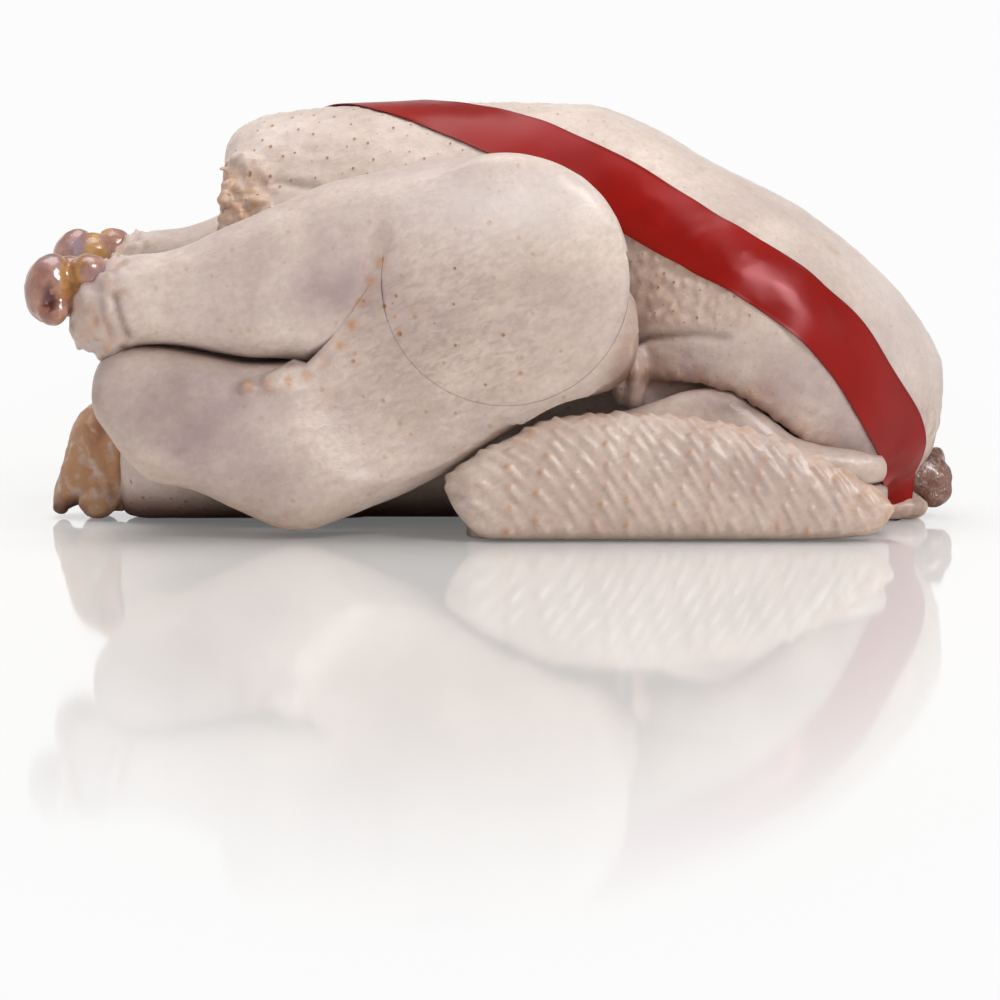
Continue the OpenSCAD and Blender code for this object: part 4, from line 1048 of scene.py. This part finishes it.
nylon, tree, surface = new_material("punched_nylon_washer")
place = node(tree, "ShaderNodeTexCoord").outputs["Object"]
fibre = noise(tree, place, 260, 4)
milky = blend(tree, fibre, "#E9E6DA", "#CFCABB")
bump = fine_relief(tree, fibre, 0.15, 0.0003)
cover(tree, surface, {
    "Base Color": milky, "Roughness": 0.48, "IOR": 1.53, "Subsurface Weight": 0.1,
    "Subsurface Scale": 0.001, "Normal": bump})

for name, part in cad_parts.items():
    if name.endswith(("_stud", "_lock", "_washer", "_washers")):
        for slot in part.material_slots:
            slot.material = nylon if "washer" in name else acetal


# ---- Tail and neck ----------------------------------------------------------------------------
# The fatty tail and the cut neck are separate castings, plugged into bosses in the torso. The
# tail's tip is darker towards the bottom, with darker blotches further forward.
tail = mesh_piece("tail_skin", [loft([
    [-165, -4.5, 4.5, 4.2, 6, 10], [-163.4, -8, 8, 2.4, 7, 16], [-160, -12, 12, 3.4, 13, 28],
    [-156, -15, 15, 4.6, 18, 37.6], [-150, -17.5, 17.5, 3, 20, 43], [-143, -19.5, 19.5, 2, 22, 46],
    [-138, -20, 20, 2, 22, 45]], power=2.2)]
    + [blob((-162, side * 5.5, 4.6), (3.2, 4.2, 3.2)) for side in (-1, 1)]
    + [blob((-148, side * 14.5, 7), (7.5, 5.5, 6.4)) for side in (-1, 1)]
    + [blob((-148, side * 17.5, 24), (3, 3, 15), -0.35) for side in (-1, 1)])
soften(tail, grain=0.9, passes=7)
places, facing = points_of(tail)
x, y, z = places.T
creased = places * (1.5, 1.5, 0.4)
swell = (0.6 * ripple(places, 12, 61) + 0.7 * ripple(creased, 6, 62) + 0.35 * ripple(places, 3.2, 63))
places += facing * (swell * ease(z, 0.5, 4))[:, None]
places[:, 2] = np.maximum(places[:, 2], 0.6)
place_points(tail, places)
tip = (1 - ease(z, 3, 11)) * (1 - ease(x, -158, -146))
blotches = ease(x, -153, -146) * ease(ripple(creased, 7, 65), -0.3, 0.5)
keep(tail, "shades", [1.7 + 0.3 * ripple(places, 7, 64), 0.05 + 0 * x,
                      np.clip(0.16 + 0.75 * tip + 0.42 * blotches, 0, 0.85)])
keep(tail, "chart", [*follicle_chart(x, 14 * np.arctan2(z - 20, -y)), 0 * x])
keep(tail, "marks", [0.3 + 0 * x, 0 * x, 0.45 + 0 * x])
tail.data.materials.append(latex_skin)
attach(tail, "torso")
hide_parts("tail")

raw_end, tree, surface = new_material("stippled_latex_neck")
place = node(tree, "ShaderNodeTexCoord").outputs["Object"]
meat = colour("#8A6152")
for scale, low, high, over in ((160, 0.35, 0.65, "#6B4437"), (320, 0.56, 0.72, "#B08A77")):
    cloud = noise(tree, place, scale, 4)
    share = remap(tree, cloud, low, high)
    meat = blend(tree, share, meat, over)
fibres = noise(tree, place, 380, 5, 1.2)
bump = fine_relief(tree, fibres, 0.6, 0.0014)
cover(tree, surface, {
    "Base Color": meat, "Roughness": 0.34, "IOR": 1.5, "Coat Weight": 0.3, "Coat Roughness": 0.15,
    "Normal": bump})

neck = mesh_piece("neck_end", [loft([
    [148, -9.4, 9.4, 8, 18, 27], [158, -9.8, 9.8, 6.8, 17, 27], [165, -9.6, 9.6, 5.4, 15, 25.5],
    [170, -8.2, 8.2, 5.2, 13.5, 22.6], [173, -4.4, 4.4, 7, 12.5, 18.4]], power=2.1),
    blob((166, -5, 8), (5, 4.5, 4)), blob((167, 4, 22), (4, 5, 4)), blob((164, 7, 9), (5, 4, 4))])
soften(neck, grain=0.9, passes=5)
places, facing = points_of(neck)
swell = 0.7 * ripple(places, 6, 71) + 0.4 * ripple(places * (0.5, 1, 1), 2.8, 72)
place_points(neck, places + facing * (swell * (places[:, 0] > 154))[:, None])
neck.data.materials.append(raw_end)
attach(neck, "torso")
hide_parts("neck_stump")


# ---- Ribbon -----------------------------------------------------------------------------------
# A loop of double-faced polyester satin, woven 25 mm wide, pulled tight round the bird and sewn
# end to end under its back. Its floats lie along it, so it shines softly across the width.

RIBBON_WIDTH, RIBBON_THICK, RIBBON_CLEAR = 25.0, 0.45, 0.55
# Route of its middle line: [share of the torso's length, angle round it in degrees].
ROUTE = np.array([
    [0.89, 255], [0.93, 232], [0.94, 212], [0.926, 197], [0.872, 180], [0.81, 168], [0.748, 160.6],
    [0.686, 155.2], [0.624, 151.4], [0.562, 147.2], [0.50, 140.5], [0.438, 130.5], [0.376, 120.2],
    [0.314, 109.8], [0.255, 98], [0.205, 84], [0.165, 66], [0.145, 45], [0.145, 20], [0.16, 0],
    [0.19, -25], [0.24, -45], [0.36, -64], [0.54, -77], [0.72, -86], [0.82, -92]], float)
FINE_BREAST = bend_through(breast_rows(), 12)


def on_breast(share, angle):
    """Points on the torso's plain form at shares of its length and angles round it."""
    station = np.stack([np.interp(VENT_X + np.minimum(share, 0.995) * TORSO_LENGTH,
                                  FINE_BREAST[:, 0], FINE_BREAST[:, i]) for i in range(6)])
    c, s = (np.sign(v) * np.abs(v) ** (2 / 2.3) for v in (np.cos(angle), np.sin(angle)))
    high = np.where(s > 0, station[4] + (station[5] - station[4]) * s,
                    station[4] + (station[4] - station[3]) * s)
    return np.stack([station[0], (station[1] + station[2]) / 2 + c * (station[2] - station[1]) / 2,
                     high], axis=1)


stops, steps = len(ROUTE), 14
route = []
for i in range(stops):
    a, b, c, d = (ROUTE[(i + k) % stops] + (0, -360 * ((i + k) // stops)) for k in (-1, 0, 1, 2))
    for t in np.arange(steps) / steps:
        route.append(0.5 * (2 * b + (c - a) * t + (2 * a - 5 * b + 4 * c - d) * t**2
                            + (3 * b - a - 3 * c + d) * t**3))
route = np.array(route)
middle = on_breast(route[:, 0], np.radians(route[:, 1]))
skin_tree = BVHTree.FromObject(torso, bpy.context.evaluated_depsgraph_get())


def lay_on_skin(at, lift):
    """The place just above the torso's skin nearest to a point."""
    found = skin_tree.find_nearest(Vector(at) * MM)
    return np.array(found[0] * 1000 + found[1] * lift), np.array(found[1])


def evened(rows):
    """Each row of a loop averaged with the rows beside it."""
    return (np.roll(rows, 1, 0) + 2 * rows + np.roll(rows, -1, 0)) / 4


middle = np.array([lay_on_skin(p, 0.3)[0] for p in middle])
for _ in range(16):
    middle = evened(middle)
run = np.roll(middle, -1, 0) - np.roll(middle, 1, 0)
run /= np.linalg.norm(run, axis=1)[:, None]
normals = np.array([lay_on_skin(p, 0)[1] for p in middle])
for _ in range(30):
    normals = evened(normals)
across = np.cross(run, normals)
across /= np.linalg.norm(across, axis=1)[:, None]
columns = 17
shares = np.linspace(-0.5, 0.5, columns)
grid = middle[:, None] + across[:, None] * (shares * RIBBON_WIDTH)[None, :, None]
# each crossing stays straight along the loop, and is only pressed in or out to lie on the skin
rise = np.zeros(grid.shape[:2])
for _ in range(4):
    for i in range(len(grid)):
        for j in range(columns):
            point = grid[i, j] + normals[i] * rise[i, j]
            found = skin_tree.find_nearest(Vector(point) * MM)
            high = (point - np.array(found[0]) * 1000) @ np.array(found[1])
            rise[i, j] += (RIBBON_CLEAR - high) * 0.9
# the tight ribbon spans the hollows of the skin
needed = rise.copy()
for _ in range(3):
    rise = np.maximum(rise, np.maximum(np.roll(rise, 1, 0), np.roll(rise, -1, 0)))
for _ in range(24):
    rise = evened(rise)
    rise[:, 1:-1] = (rise[:, :-2] + 2 * rise[:, 1:-1] + rise[:, 2:]) / 4
    rise = np.maximum(rise, needed - 0.25)
grid += normals[:, None] * rise[:, :, None]
# the woven width is kept as each crossing bends over the body
centre = grid[:, columns // 2]
for j in range(columns):
    away = grid[:, j] - centre
    size = np.linalg.norm(away, axis=1)[:, None]
    want = abs(shares[j]) * RIBBON_WIDTH
    grid[:, j] = centre + away * (want / np.maximum(size, 1e-6) if want else 0)
under = grid[:, :, 2] < 2.0
grid[:, :, 2] = np.where(under, np.maximum(grid[:, :, 2], 0.10), grid[:, :, 2])
rows = len(grid)
faces = [(i * columns + j, i * columns + j + 1, (i + 1) % rows * columns + j + 1,
          (i + 1) % rows * columns + j) for i in range(rows) for j in range(columns - 1)]
ribbon = mesh_piece("ribbon_satin", [(grid.reshape(-1, 3), faces)])
far_along = np.concatenate([[0], np.cumsum(np.linalg.norm(np.diff(centre, axis=0), axis=1))])
keep(ribbon, "weave", [np.repeat(far_along, columns), np.tile(np.linspace(0, RIBBON_WIDTH, columns), rows),
                       np.zeros(rows * columns)])
keep(ribbon, "floats", list(np.repeat(run, columns, axis=0).T))
modify(ribbon, "SOLIDIFY", thickness=RIBBON_THICK * MM, offset=0)
for face in ribbon.data.polygons:
    face.use_smooth = True
ribbon.data.set_sharp_from_angle(angle=math.radians(50))

satin, tree, surface = new_material("woven_polyester_satin")
weave = node(tree, "ShaderNodeAttribute", attribute_name="weave")
floats = node(tree, "ShaderNodeAttribute", attribute_name="floats")
threads = node(tree, "ShaderNodeSeparateXYZ", {0: weave.outputs["Vector"]})
# real threads are 0.15 mm apart; they are drawn 0.5 mm apart so that they show
THREAD_GAP = 0.5
turns = maths(tree, "MULTIPLY", threads.outputs[0], 2 * math.pi / THREAD_GAP)
weft = maths(tree, "SINE", turns)
other_edge = maths(tree, "SUBTRACT", RIBBON_WIDTH, threads.outputs[1])
edge_in = maths(tree, "MINIMUM", threads.outputs[1], other_edge)
selvedge = remap(tree, edge_in, 0.3, 1.2, 1.0, 0.0)
place = node(tree, "ShaderNodeTexCoord").outputs["Object"]
cloud = noise(tree, place, 30, 2)
share = remap(tree, cloud, 0.35, 0.65)
dye = blend(tree, share, "#9A1409", "#8A1006")
share = maths(tree, "MULTIPLY", selvedge, 0.5)
dye = blend(tree, share, dye, "#6A0D06")
edge_height = maths(tree, "MULTIPLY", selvedge, 0.8)
height = maths(tree, "MULTIPLY_ADD", weft, 0.12, edge_height)
bump = fine_relief(tree, height, 0.35, 0.0002)
cover(tree, surface, {
    "Base Color": dye, "Roughness": 0.31, "IOR": 1.5, "Specular IOR Level": 0.24,
    "Specular Tint": colour("#FFC4CC"), "Anisotropic": 0.4, "Tangent": floats.outputs["Vector"],
    "Normal": bump})
ribbon.data.materials.clear()
ribbon.data.materials.append(satin)
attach(ribbon, "torso")
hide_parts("ribbon")
